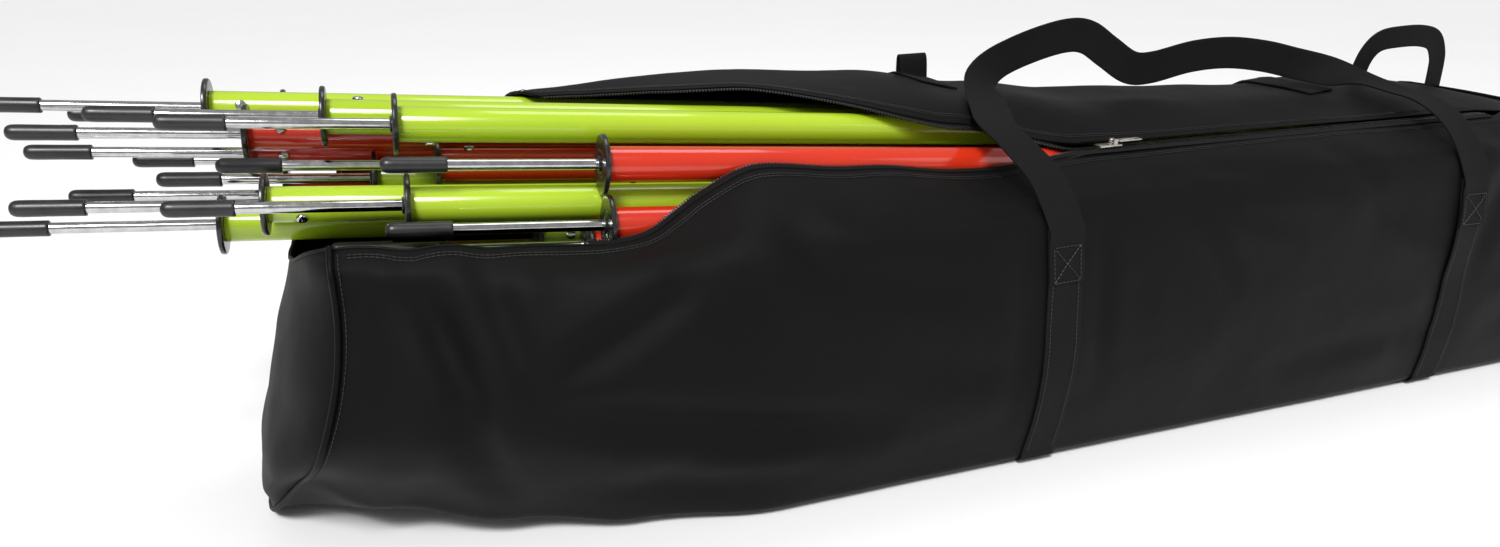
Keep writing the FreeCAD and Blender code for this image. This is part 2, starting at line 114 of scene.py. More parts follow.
class NodeBench:
    """A material under construction: its node tree with short calls for the usual steps."""

    def __init__(self, name: str) -> None:
        """Start an empty material with one shader.

        Args:
            name: the material's name.
        """
        self.material = bpy.data.materials.new(name)
        self.material.use_nodes = True
        self.tree = self.material.node_tree
        self.shader = self.tree.nodes["Principled BSDF"]

    def node(self, kind: str, inputs: dict | None = None, **settings: object) -> bpy.types.Node:
        """Add a node.

        Args:
            kind: the node's type name after ShaderNode.
            inputs: values for its sockets; a socket of another node makes a link.
            settings: attributes of the node.

        Returns:
            The new node.
        """
        made = self.tree.nodes.new("ShaderNode" + kind)
        for key, value in settings.items():
            setattr(made, key, value)
        for key, value in (inputs or {}).items():
            self.feed(made.inputs[key], value)
        return made

    def feed(self, socket: bpy.types.NodeSocket, value: object) -> None:
        """Give a socket a value, or a link if the value is another node's socket."""
        if isinstance(value, bpy.types.NodeSocket):
            self.tree.links.new(value, socket)
        else:
            socket.default_value = value

    def shade(self, **values: object) -> None:
        """Set the shader's sockets; underscores stand for the spaces in their names."""
        for key, value in values.items():
            self.feed(self.shader.inputs[key.replace("_", " ")], value)

    def math(self, operation: str, *terms: object) -> bpy.types.NodeSocket:
        """Combine numbers or sockets with one Math operation."""
        made = self.node("Math", operation=operation)
        for socket, term in zip(made.inputs, terms):
            self.feed(socket, term)
        return made.outputs[0]

    def place(self, source: str,
              scale: tuple[float, float, float] = (1, 1, 1)) -> bpy.types.NodeSocket:
        """Coordinates to lay a pattern on.

        Args:
            source: "Object" for metres in the frame, or the name of a UV map in metres.
            scale: the factors along the three axes.

        Returns:
            The mapped coordinates.
        """
        if source == "Object":
            raw = self.node("TexCoord").outputs["Object"]
        else:
            raw = self.node("UVMap", uv_map=source).outputs["UV"]
        return self.node("Mapping", {"Vector": raw, "Scale": scale}).outputs["Vector"]

    def cloud(self, where: bpy.types.NodeSocket, scale: float, detail: float = 3.0,
              roughness: float = 0.5) -> bpy.types.NodeSocket:
        """Noise between 0 and 1 at a scale per metre."""
        made = self.node("TexNoise", {"Vector": where, "Scale": scale, "Detail": detail,
                                      "Roughness": roughness})
        return made.outputs["Fac"]

    def bands(self, where: bpy.types.NodeSocket, pitch: float, axis: str,
              distortion: float = 0.0) -> bpy.types.NodeSocket:
        """Even ridges across an axis, with pitch in metres."""
        made = self.node("TexWave", {"Vector": where, "Scale": WAVE_AT_ONE_METRE / pitch,
                                     "Distortion": distortion, "Detail": 1.0},
                         wave_type="BANDS", bands_direction=axis)
        return made.outputs["Fac"]

    def ramp(self, value: bpy.types.NodeSocket,
             stops: Sequence[tuple[float, tuple[float, float, float]]]) -> bpy.types.NodeSocket:
        """Colours read from a value.

        Args:
            value: the position from 0 to 1.
            stops: pairs of position and colour.

        Returns:
            The colour socket.
        """
        made = self.node("ValToRGB", {"Fac": value})
        elements = made.color_ramp.elements
        while len(elements) < len(stops):
            elements.new(0.5)
        for element, (position, colour) in zip(elements, stops):
            element.position = position
            element.color = (*colour, 1.0)
        return made.outputs["Color"]

    def span(self, value: bpy.types.NodeSocket, low: float, high: float) -> bpy.types.NodeSocket:
        """Stretch a value from 0..1 to low..high."""
        made = self.node("MapRange", {"Value": value, "To Min": low, "To Max": high})
        return made.outputs["Result"]

    def bump(self, height: bpy.types.NodeSocket, distance: float,
             strength: float = 1.0) -> None:
        """Raise the surface by a height in metres, after any bump already on the shader."""
        made = self.node("Bump", {"Height": height, "Distance": distance,
                                  "Strength": strength})
        normal = self.shader.inputs["Normal"]
        if normal.links:
            self.feed(made.inputs["Normal"], normal.links[0].from_socket)
        self.feed(normal, made.outputs["Normal"])


@dataclass(frozen=True)
class WovenCloth:
    """Coated bag cloth in a plain weave, with a soft bloom and a little dust."""

    name: str = "bag_cloth"
    thread: float = 0.0009
    dark: tuple[float, float, float] = (0.0013, 0.0013, 0.0014)
    light: tuple[float, float, float] = (0.0052, 0.0050, 0.0049)

    def material(self) -> bpy.types.Material:
        """Build the weave in the cloth's own map, with wear on object coordinates."""
        bench = NodeBench(self.name)
        flat = bench.place("cloth")
        warp = bench.bands(flat, self.thread, "X", 0.4)
        weft = bench.bands(flat, self.thread, "Y", 0.4)
        weave = bench.math("MULTIPLY", warp, weft)
        solid = bench.place("Object")
        dust = bench.cloud(solid, 9.0, 6.0, 0.62)
        slub = bench.cloud(bench.place("cloth", (40, 900, 1)), 1.0, 2.0)
        mixed = bench.math("ADD", bench.math("MULTIPLY", weave, 0.45),
                           bench.math("MULTIPLY", dust, 0.55))
        bench.shade(
            Base_Color=bench.ramp(mixed, [(0.18, self.dark), (0.85, self.light)]),
            Roughness=bench.span(dust, 0.46, 0.62),
            Sheen_Weight=0.01, Sheen_Roughness=0.45,
            Sheen_Tint=(0.55, 0.55, 0.58, 1.0), Specular_IOR_Level=0.11,
        )
        bench.bump(weave, 0.00022, 0.55)
        bench.bump(slub, 0.00015, 0.35)
        bench.bump(bench.cloud(solid, 38.0, 4.0), 0.0016, 0.45)
        return bench.material


@dataclass(frozen=True)
class RibbedWebbing:
    """Flat woven webbing or zip tape with ribs across it."""

    name: str
    rib: float
    dark: tuple[float, float, float] = (0.0020, 0.0019, 0.0019)
    light: tuple[float, float, float] = (0.0084, 0.0080, 0.0078)

    def material(self) -> bpy.types.Material:
        """Build the ribs in the ribbon's own map."""
        bench = NodeBench(self.name)
        flat = bench.place("ribbon")
        ribs = bench.bands(flat, self.rib, "Y", 0.25)
        yarns = bench.bands(flat, self.rib * 0.8, "X", 0.3)
        weave = bench.math("ADD", bench.math("MULTIPLY", ribs, 0.65),
                           bench.math("MULTIPLY", yarns, 0.35))
        fuzz = bench.cloud(bench.place("Object"), 60.0, 4.0, 0.6)
        mixed = bench.math("ADD", bench.math("MULTIPLY", weave, 0.6),
                           bench.math("MULTIPLY", fuzz, 0.4))
        bench.shade(
            Base_Color=bench.ramp(mixed, [(0.2, self.dark), (0.85, self.light)]),
            Roughness=bench.span(fuzz, 0.66, 0.86),
            Sheen_Weight=0.02, Sheen_Roughness=0.4,
            Sheen_Tint=(0.6, 0.6, 0.62, 1.0), Specular_IOR_Level=0.15,
        )
        bench.bump(weave, 0.00035, 0.7)
        return bench.material


@dataclass(frozen=True)
class GlossTube:
    """Extruded plastic tube: glossy, a little uneven, with fine handling scratches."""

    name: str
    deep: tuple[float, float, float]
    bright: tuple[float, float, float]

    def material(self) -> bpy.types.Material:
        """Build the colour drift, the polish and the scratches on object coordinates."""
        bench = NodeBench(self.name)
        solid = bench.place("Object")
        drift = bench.cloud(bench.place("Object", (1.2, 6, 6)), 2.2, 3.0)
        haze = bench.cloud(bench.place("Object", (6, 60, 60)), 1.6, 5.0, 0.65)
        nicks = bench.cloud(bench.place("Object", (25, 420, 420)), 1.0, 2.0)
        scratch = bench.math("GREATER_THAN", nicks, 0.72)
        gloss = bench.math("ADD", bench.span(haze, 0.10, 0.26),
                           bench.math("MULTIPLY", scratch, 0.16))
        bench.shade(
            Base_Color=bench.ramp(drift, [(0.3, self.deep), (0.7, self.bright)]),
            Roughness=gloss, Coat_Weight=0.35, Coat_Roughness=0.06, IOR=1.49,
        )
        bench.bump(haze, 0.0003, 0.16)
        bench.bump(bench.cloud(solid, 700.0, 2.0), 0.00003, 0.2)
        return bench.material


@dataclass(frozen=True)
class MouldedPlastic:
    """Black moulded plastic or vinyl with a fine grain and scuffed places."""

    name: str
    polish: tuple[float, float]
    grain: float
    coat: float = 0.0
    dark: tuple[float, float, float] = (0.006, 0.006, 0.007)
    light: tuple[float, float, float] = (0.020, 0.020, 0.021)

    def material(self) -> bpy.types.Material:
        """Build the grain, the scuffs and the polish."""
        bench = NodeBench(self.name)
        solid = bench.place("Object")
        scuff = bench.cloud(solid, 55.0, 6.0, 0.68)
        grain = bench.cloud(solid, self.grain, 2.0)
        bench.shade(
            Base_Color=bench.ramp(scuff, [(0.35, self.dark), (0.78, self.light)]),
            Roughness=bench.span(scuff, *self.polish), Coat_Weight=self.coat,
            Coat_Roughness=0.12,
        )
        bench.bump(grain, 0.00008, 0.35)
        return bench.material


@dataclass(frozen=True)
class PlatedMetal:
    """Zinc or nickel plating over drawn steel, with fine die lines and dull patches."""

    name: str
    deep: tuple[float, float, float]
    bright: tuple[float, float, float]
    polish: tuple[float, float]
    lines: tuple[float, float, float] = (8, 500, 500)

    def material(self) -> bpy.types.Material:
        """Build the plating's patches and the die lines along the rods."""
        bench = NodeBench(self.name)
        solid = bench.place("Object")
        patches = bench.cloud(solid, 130.0, 5.0, 0.6)
        drawn = bench.cloud(bench.place("Object", self.lines), 1.0, 2.0)
        bench.shade(
            Base_Color=bench.ramp(patches, [(0.3, self.deep), (0.75, self.bright)]),
            Metallic=1.0, Roughness=bench.span(patches, *self.polish),
        )
        bench.bump(drawn, 0.00004, 0.3)
        return bench.material


@dataclass(frozen=True)
class PlainFloor:
    """A pale, matte studio floor with a hardly visible unevenness."""

    name: str = "studio_floor"

    def material(self) -> bpy.types.Material:
        """Build the floor's paint."""
        bench = NodeBench(self.name)
        cloud = bench.cloud(bench.place("Object"), 1.5, 3.0)
        bench.shade(
            Base_Color=bench.ramp(cloud, [(0.2, (0.93, 0.93, 0.93)), (0.8, (0.95, 0.95, 0.95))]),
            Roughness=0.75, Specular_IOR_Level=0.2,
        )
        return bench.material


class Slot(Enum):
    """The material slots that the pieces take their finish from."""

    BAG = "bag_fabric"
    WEBBING = "webbing"
    TAPE = "zip_tape"
    ZIP_METAL = "zip_metal"
    YELLOW = "tube_yellow"
    RED = "tube_red"
    PLASTIC = "black_plastic"
    ZINC = "zinc_steel"
    VINYL = "black_vinyl"


FINISHES = {
    Slot.BAG: WovenCloth(),
    Slot.WEBBING: RibbedWebbing("webbing_weave", 0.0018),
    Slot.TAPE: RibbedWebbing("zip_tape_weave", 0.0009, (0.003, 0.003, 0.003),
                             (0.009, 0.009, 0.009)),
    Slot.ZIP_METAL: PlatedMetal("zip_nickel", (0.46, 0.43, 0.38), (0.78, 0.75, 0.70),
                                (0.18, 0.38)),
    Slot.YELLOW: GlossTube("tube_lime_yellow", (0.36, 0.53, 0.018), (0.44, 0.62, 0.030)),
    Slot.RED: GlossTube("tube_signal_red", (0.52, 0.022, 0.006), (0.66, 0.036, 0.010)),
    Slot.PLASTIC: MouldedPlastic("disc_plastic", (0.16, 0.40), 900.0, 0.25),
    Slot.ZINC: PlatedMetal("zinc_plating", (0.46, 0.46, 0.47), (0.68, 0.68, 0.69),
                           (0.07, 0.18)),
    Slot.VINYL: MouldedPlastic("vinyl_cap", (0.28, 0.50), 500.0, 0.1),
}

_made: dict[Slot, bpy.types.Material] = {}


def finish_of(slot: Slot) -> bpy.types.Material:
    """The material of a slot, built once."""
    if slot not in _made:
        _made[slot] = FINISHES[slot].material()
    return _made[slot]


def add_piece(name: str, shape: bmesh.types.BMesh | bpy.types.Mesh, slot: Slot, body: str,
              nodes: Sequence[str] = (), sharp: float = 40.0) -> bpy.types.Object:
    """Turn a finished shape into a piece of the object.

    Args:
        name: the piece's name.
        shape: its shape in the frame, in metres; a bmesh is freed here.
        slot: the finish.
        body: the body it rides on.
        nodes: the CAD nodes that it stands for.
        sharp: the angle in degrees above which an edge is left crisp.

    Returns:
        The piece.
    """
    if isinstance(shape, bmesh.types.BMesh):
        mesh = bpy.data.meshes.new(name)
        shape.to_mesh(mesh)
        shape.free()
    else:
        mesh = shape
    smooth_shade(mesh, sharp)
    piece = bpy.data.objects.new(name, mesh)
    bpy.context.scene.collection.objects.link(piece)
    mesh.materials.clear()
    mesh.materials.append(finish_of(slot))
    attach(piece, body)
    if nodes:
        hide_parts(*nodes)
    return piece


# ---------------------------------------------------------------------------------------------
# Poles.
# ---------------------------------------------------------------------------------------------


class Colour(Enum):
    """A tube's colour and the slot that carries it."""

    YELLOW = Slot.YELLOW
    RED = Slot.RED


@dataclass(frozen=True)
class Place:
    """Where one pole lies in the bundle, in millimetres and degrees."""

    colour: Colour
    station: float
    back: float
    height: float
    turn: float


@dataclass
class PoleKit:
    """The turned parts of one pole: tube, foot plug and disc, end cap, spike, screw and tip."""

    tube_radius: float = 16.0
    bore_radius: float = 13.6
    length: float = 1200.0
    disc_radius: float = 27.5
    disc_thickness: float = 5.0
    collar_radius: float = 7.5
    collar_height: float = 2.0
    plug_length: float = 40.0
    rod_radius: float = 5.0
    embedded: float = 36.0
    taper: float = 16.0
    point_radius: float = 2.0
    reach: float = 185.0
    tip_radius: float = 7.0
    tip_bore: float = 5.05
    tip_length: float = 54.0
    cap_length: float = 18.0
    cap_rim: float = 3.0
    screw_station: float = 27.0
    screw_radius: float = 5.0
    screw_height: float = 3.2
    screw_cells: int = 9
    screw_edge: float = 0.6
    recess_depth: float = 1.5
    round_steps: int = 56

    def turned(self, outline: Sequence[tuple[float, float]], steps: int = 0,
               closed: bool = True) -> bmesh.types.BMesh:
        """Spin an outline about the pole's axis.

        Args:
            outline: pairs of distance along the axis and radius, in millimetres.
            closed: whether the last point joins the first.

        Returns:
            The turned shape, its doubles merged and its faces outwards.
        """
        shape = bmesh.new()
        points = [shape.verts.new((x * MM, 0, r * MM)) for x, r in outline]
        pairs = list(zip(points, points[1:]))
        if closed:
            pairs.append((points[-1], points[0]))
        edges = [shape.edges.new(pair) for pair in pairs]
        bmesh.ops.spin(shape, geom=points + edges, cent=(0, 0, 0), axis=(1, 0, 0),
                       angle=math.tau, steps=steps or self.round_steps, use_merge=True)
        bmesh.ops.remove_doubles(shape, verts=shape.verts, dist=1e-6)
        bmesh.ops.dissolve_degenerate(shape, dist=1e-7, edges=shape.edges)
        bmesh.ops.recalc_face_normals(shape, faces=shape.faces)
        return shape

    def tube(self) -> bmesh.types.BMesh:
        """The tube, with its cut ends eased."""
        r, b, end = self.tube_radius, self.bore_radius, self.length
        return self.turned([
            (0.05, b), (0.05, r - 0.5), (0.2, r - 0.15), (0.6, r), (end * 0.25, r),
            (end * 0.5, r), (end * 0.75, r), (end - 0.6, r), (end - 0.2, r - 0.15),
            (end - 0.05, r - 0.5), (end - 0.05, b),
        ])

    def foot(self) -> bmesh.types.BMesh:
        """The foot plug with its disc: a raised rim, a shallow ring and the collar."""
        d, t = self.disc_radius, self.disc_thickness
        return self.turned([
            (-t - self.collar_height, self.rod_radius + 0.05),
            (-t - self.collar_height, self.collar_radius - 0.7),
            (-t - self.collar_height + 0.6, self.collar_radius),
            (-t - 0.4, self.collar_radius), (-t, self.collar_radius + 0.8),
            (-t, 12.4), (-t + 0.5, 13.0), (-t + 0.5, 13.8), (-t, 14.4),
            (-t, d - 3.6), (-t, d - 1.6), (-t + 0.3, d - 0.7), (-t + 1.0, d - 0.12),
            (-t + 1.9, d), (-1.6, d), (-0.8, d - 0.3), (-0.2, d - 1.1), (0, d - 2.2),
            (0, self.bore_radius), (self.plug_length, self.bore_radius),
            (self.plug_length, self.rod_radius + 0.05),
        ])

    def end_cap(self) -> bmesh.types.BMesh:
        """The push-in cap at the tube's top end."""
        end, rim = self.length, self.cap_rim
        return self.turned([
            (end - self.cap_length, 0), (end - self.cap_length, self.bore_radius),
            (end, self.bore_radius), (end, self.tube_radius - 0.2),
            (end + rim - 1.2, self.tube_radius - 0.1), (end + rim - 0.5, self.tube_radius - 0.5),
            (end + rim - 0.1, self.tube_radius - 1.4), (end + rim, self.tube_radius - 2.6),
            (end + rim, 0),
        ], closed=False)

    def rod(self) -> bmesh.types.BMesh:
        """The steel rod, tapered at its hidden point."""
        point = -self.disc_thickness - self.reach + 2.6
        return self.turned([
            (self.embedded, 0), (self.embedded, self.rod_radius),
            (-40, self.rod_radius), (-90, self.rod_radius),
            (point + self.taper, self.rod_radius), (point, self.point_radius), (point, 0),
        ], 32, closed=False)

    def tip(self) -> bmesh.types.BMesh:
        """The soft cap: a blunt round nose and a slightly flared, eased mouth."""
        far, r = -self.disc_thickness - self.reach, self.tip_radius
        mouth = far + self.tip_length
        return self.turned([
            (far, 0), (far + 0.15, 1.9), (far + 0.6, 3.4), (far + 1.5, 4.9), (far + 2.9, 6.0),
            (far + 4.8, 6.7), (far + 7.4, r - 0.06), (far + 11, r), (far + 30, r - 0.12),
            (mouth - 3.4, r - 0.04), (mouth - 2.2, r), (mouth - 0.8, r),
            (mouth - 0.2, r - 0.35), (mouth, r - 0.9), (mouth, self.tip_bore),
            (far + 2.2, self.tip_bore), (far + 2.2, 0),
        ], 36, closed=False)

    def screw(self) -> bmesh.types.BMesh:
        """The pan-head screw with its cross recess, standing on the tube's wall."""
        shape = bmesh.new()
        cells = self.screw_cells
        bmesh.ops.create_grid(shape, x_segments=cells, y_segments=cells, size=1.0)
        reach = 5.4 / cells
        slot = 1.0 / cells * 1.1
        middles = [(face, face.calc_center_median()) for face in shape.faces]
        cross = [face for face, spot in middles
                 if (abs(spot.x) < slot and abs(spot.y) < reach)
                 or (abs(spot.y) < slot and abs(spot.x) < reach)]
        rim = [edge for edge in shape.edges if edge.is_boundary]
        crest = self.screw_radius - self.screw_edge
        for vert in shape.verts:
            x, y = vert.co.x, vert.co.y
            vert.co.x = x * math.sqrt(1 - y * y / 2) * crest
            vert.co.y = y * math.sqrt(1 - x * x / 2) * crest
            flat = min(vert.co.xy.length / self.screw_radius, 1)
            vert.co.z = self.screw_height - 0.9 * flat ** 3
        sunk = bmesh.ops.extrude_face_region(shape, geom=cross)["geom"]
        bmesh.ops.delete(shape, geom=cross, context="FACES")
        bmesh.ops.translate(shape, vec=(0, 0, -self.recess_depth),
                            verts=[item for item in sunk if isinstance(item, bmesh.types.BMVert)])
        for grow, z in ((0.45, 1.75), (0.6, 1.0), (0.6, 0.0)):
            out = bmesh.ops.extrude_edge_only(shape, edges=rim)["geom"]
            ring = [item for item in out if isinstance(item, bmesh.types.BMVert)]
            rim = [item for item in out if isinstance(item, bmesh.types.BMEdge)]
            for vert in ring:
                vert.co = Vector((*(vert.co.xy.normalized() * (crest + grow)), z))
        bmesh.ops.recalc_face_normals(shape, faces=shape.faces)
        bmesh.ops.translate(shape, vec=(self.screw_station, 0, self.tube_radius - 0.35),
                            verts=shape.verts)
        bmesh.ops.scale(shape, vec=(MM, MM, MM), verts=shape.verts)
        return shape


@dataclass
class PoleBundle:
    """Eighteen poles, spike ends out of the bag's mouth and tube ends deep inside it."""

    station_of_heights: float = -545.0
    tilt: float = 4.5
    apart: int = 10
    kit: PoleKit = field(default_factory=PoleKit)
    places: tuple[Place, ...] = (
        Place(Colour.YELLOW, -165, 120, 358, 70), Place(Colour.RED, -130, 75, 342, 60),
        Place(Colour.YELLOW, 0, -9, 368, 180), Place(Colour.RED, 33, 30, 322, 5),
        Place(Colour.RED, 171, -75, 346, 200), Place(Colour.YELLOW, -25, 79, 298, 150),
        Place(Colour.YELLOW, 2, -56, 306, 170), Place(Colour.RED, 169, -99, 296, 230),
        Place(Colour.YELLOW, -115, -5, 295, 125), Place(Colour.YELLOW, -158, 40, 265, 240),
        Place(Colour.RED, -135, 124, 314, 90), Place(Colour.YELLOW, -105, 165, 342, 30),
        Place(Colour.RED, -110, 128, 270, 300), Place(Colour.RED, -60, 165, 297, 0),
        Place(Colour.YELLOW, 118, -1, 250, 45), Place(Colour.RED, 40, 86, 254, 20),
        Place(Colour.RED, 158, -46, 261, 75), Place(Colour.YELLOW, -60, 36, 366, 340),
    )

    def pose(self, place: Place) -> Matrix:
        """The matrix that lays a pole, built along X from its disc, in its place."""
        slope = math.tan(math.radians(self.tilt))
        where = Vector((self.station_of_heights + place.station, place.back,
                        place.height - place.station * slope)) * MM
        return (Matrix.Translation(where)
                @ Matrix.Rotation(math.radians(self.tilt), 4, "Y")
                @ Matrix.Rotation(math.radians(place.turn), 4, "X"))

    def build(self) -> None:
        """Turn every part once, then lay a copy of each in all eighteen places."""
        kit = self.kit
        parts: list[tuple[str, bmesh.types.BMesh]] = [
            ("tube", kit.tube()), ("foot", kit.foot()), ("cap", kit.end_cap()),
            ("rod", kit.rod()), ("screw", kit.screw()), ("tip", kit.tip()),
        ]
        meshes: dict[str, bpy.types.Mesh] = {}
        for name, shape in parts:
            mesh = bpy.data.meshes.new(f"{name}_turned")
            shape.to_mesh(mesh)
            shape.free()
            meshes[name] = mesh
        for number, place in enumerate(self.places, 1):
            self.lay(number, place, meshes)
        for mesh in meshes.values():
            bpy.data.meshes.remove(mesh)
        LOG.info("poles: %d laid", len(self.places))

    def lay(self, number: int, place: Place, meshes: dict[str, bpy.types.Mesh]) -> None:
        """Lay one pole's pieces.

        Args:
            number: the pole's number, from 1.
            place: where it lies.
            meshes: the turned parts by name.
        """
        pose = self.pose(place)
        separate = number <= self.apart
        body = f"pole_{number:02d}"

        def joined(*names: str) -> bmesh.types.BMesh:
            """Copies of turned parts in one bmesh, in the pole's place."""
            shape = bmesh.new()
            for name in names:
                shape.from_mesh(meshes[name])
            bmesh.ops.transform(shape, matrix=pose, verts=shape.verts)
            return shape

        def node_of(kind: str) -> list[str]:
            """The CAD node that a kind of piece stands for."""
            return [f"{kind}_{number:02d}" if separate else body]

        add_piece(f"pole_tube_{number:02d}", joined("tube"), place.colour.value, body,
                  node_of("tube"))
        add_piece(f"pole_plugs_{number:02d}", joined("foot", "cap"), Slot.PLASTIC, body,
                  node_of("plugs"), 32.0)
        add_piece(f"pole_spike_{number:02d}", joined("rod", "screw"), Slot.ZINC, body,
                  node_of("spike"), 32.0)
        add_piece(f"pole_tip_{number:02d}", joined("tip"), Slot.VINYL,
                  f"tip_{number:02d}" if separate else body, node_of("tip"))


# ---------------------------------------------------------------------------------------------
# The bag's cloth.
# ---------------------------------------------------------------------------------------------


@dataclass(frozen=True)
class Fold:
    """A crease in the front of the cloth: a soft groove with a raised lip on each side."""

    line: tuple[tuple[float, float], ...]
    width: float
    depth: float

    def reading(self, x: float, z: float) -> float:
        """How far the crease moves the cloth outwards at a place on the front, in millimetres."""
        spot = Vector((x, z))
        nearest = 1e9
        fade = 1.0
        last = len(self.line) - 2
        for index, (start, end) in enumerate(zip(self.line, self.line[1:])):
            a, b = Vector(start), Vector(end)
            along = (spot - a).dot(b - a) / (b - a).length_squared
            held = min(max(along, 0.0), 1.0)
            distance = (spot - a.lerp(b, held)).length
            if distance < nearest:
                nearest = distance
                ends = (index + held) / (last + 1)
                fade = min(1.0, 0.25 + 3.0 * min(ends, 1 - ends))
        s = nearest / self.width
        return -self.depth * fade * (math.exp(-s * s) - 0.55 * math.exp(-s * s / 6.5))


@dataclass
class BagCloth:
    """The bag's body: one sewn skin of front, base, back and crown, with an end panel each side."""

    left: float = -640.0
    right: float = 886.0
    columns: int = 112
    wall_rows: int = 34
    base_rows: int = 20
    crown_rows: int = 10
    wall: float = 1.5
    floor_gap: float = 2.5
    zip_line: float = -95.0
    zip_height: float = 312.0
    mouth_end: float = 140.0
    zip_end: float = 735.0
    near_edge: tuple[tuple[float, float], ...] = (
        (-640, -118), (-560, -130), (-410, -132), (-355, -132), (-290, -105), (738, -105),
        (768, -95))
    far_edge: tuple[tuple[float, float], ...] = (
        (-410, 95), (-232, 36), (8, -43), (140, -85), (738, -85), (768, -95))
    zip_rise: tuple[tuple[float, float], ...] = (
        (-640, 300), (-560, 298), (-470, 290), (-380, 284), (-320, 302), (-240, 330),
        (-135, 318), (0, 304), (130, 312), (760, 312), (886, 300))
    shelf_rise: tuple[tuple[float, float], ...] = (
        (-640, 283), (-560, 280), (-470, 274), (-380, 268), (-320, 276), (-240, 303),
        (-135, 297), (0, 286), (140, 293), (450, 297), (760, 294), (886, 280))
    shoulder_rise: tuple[tuple[float, float], ...] = (
        (-640, 248), (-470, 244), (-240, 262), (140, 262), (600, 270), (886, 252))
    belly: tuple[tuple[float, float], ...] = (
        (-640, -152), (-560, -174), (-470, -188), (-380, -196), (-135, -200), (886, -192))
    foot_front: tuple[tuple[float, float], ...] = (
        (-640, -92), (-560, -118), (-470, -142), (-380, -162), (-240, -184), (800, -189),
        (886, -178))
    foot_lift: tuple[tuple[float, float], ...] = (
        (-640, 54), (-560, 30), (-470, 13), (-380, 3), (-250, 0), (886, 0))
    crown_rise: tuple[tuple[float, float], ...] = (
        (-640, 380), (-410, 370), (-240, 380), (-45, 372), (115, 352), (240, 337),
        (450, 328), (570, 322), (660, 328), (800, 322), (886, 308))
    folds: tuple[Fold, ...] = (
        Fold(((-558, 293), (-534, 234), (-514, 176), (-521, 150), (-492, 58)), 17, 10),
        Fold(((-494, 277), (-480, 225), (-467, 171)), 14, 8),
        Fold(((-467, 171), (-384, 218), (-330, 246)), 15, 7),
        Fold(((-463, 154), (-370, 134), (-268, 105), (-150, 92)), 20, 9),
        Fold(((-420, 60), (-330, 48), (-200, 40)), 22, 5),
        Fold(((165, 302), (250, 262), (340, 225)), 13, 4.5),
        Fold(((158, 298), (215, 240), (262, 180)), 12, 4),
        Fold(((180, 302), (320, 282), (440, 270)), 12, 3.5),
        Fold(((4, 250), (8, 170), (2, 70)), 12, 4),
        Fold(((96, 255), (92, 160), (100, 90)), 12, 3.5),
        Fold(((-250, 300), (-190, 240), (-60, 214)), 20, 4.5),
        Fold(((-120, 150), (-40, 128), (0, 120)), 24, 4),
        Fold(((420, 300), (470, 240), (560, 196)), 20, 4.5),
        Fold(((700, 292), (650, 220), (630, 140)), 22, 5),
        Fold(((350, 66), (520, 84), (560, 70)), 24, 4),
        Fold(((690, 70), (780, 110), (860, 180)), 24, 5),
    )
    fold_depth: float = 1.9
    lean_length: float = 260
    lean_start: float = -706
    lean_run: float = 98
    lean_height: float = 254
    slack: tuple[tuple[float, tuple[float, float, float], tuple[float, float, float]], ...] = (
        (5.5, (4.5, 6, 6), (3.1, 0, 7.7)), (2.4, (13, 17, 15), (0, 0, 0)),
        (0.8, (38, 40, 46), (0, 0, 0)))
    net: list[list[Vector]] = field(default_factory=list)
    rim: list[Vector] = field(default_factory=list)

    @property
    def rows(self) -> int:
        """The number of cloth rows from the near mouth edge round to the far one."""
        return 2 * self.wall_rows + self.base_rows

    def section(self, x: float) -> list[Vector]:
        """The closed outline across the bag at a station.

        Args:
            x: the station in millimetres.

        Returns:
            Fifteen points from the zip's line over the front, base, back and crown to the zip.
        """
        top = blend_value(self.zip_rise, x)
        shelf = blend_value(self.shelf_rise, x)
        shoulder = blend_value(self.shoulder_rise, x)
        belly = blend_value(self.belly, x)
        foot = blend_value(self.foot_front, x)
        low = self.floor_gap + blend_value(self.foot_lift, x)
        crown = blend_value(self.crown_rise, x)
        base = self.floor_gap
        middle = top + (crown - top) * 0.78
        outline = [
            (self.zip_line, top), (max(belly + 14, -150), shelf), (max(belly + 12, -186), shoulder),
            (belly, 140), (foot, low + 22), (foot + 24, low), (0, base), (166, base),
            (188, base + 22), (194, 150), (188, crown - 62), (158, crown - 7), (95, crown),
            (-12, middle), (self.zip_line, top),
        ]
        return [Vector((0, y, z)) for y, z in outline]

    @staticmethod
    def reach(outline: Sequence[Vector], back: float, low: float, high: float) -> float:
        """Find where the outline crosses a line that runs along the bag.

        Args:
            outline: the section's points.
            back: the line's Y.
            low: the place on the outline with the greater or lesser Y at one end.
            high: the other end.

        Returns:
            The place on the outline.
        """
        rising = catmull(outline, high).y > catmull(outline, low).y
        for _ in range(24):
            middle = (low + high) / 2
            if (catmull(outline, middle).y < back) == rising:
                low = middle
            else:
                high = middle
        return (low + high) / 2

    def limits(self, x: float, outline: Sequence[Vector]) -> tuple[float, float]:
        """The places on the outline where the cloth starts and ends round the mouth.

        Args:
            x: the station.
            outline: its section.

        Returns:
            The near and the far place.
        """
        near = self.reach(outline, blend_value(self.near_edge, x), 0.0, 2.0)
        if x >= self.far_edge[0][0]:
            far = self.reach(outline, blend_value(self.far_edge, x), 11.0, 14.0)
        else:
            far = blend_value(((-470, 9.62), (-410, 11.98)), x)
        return near, far

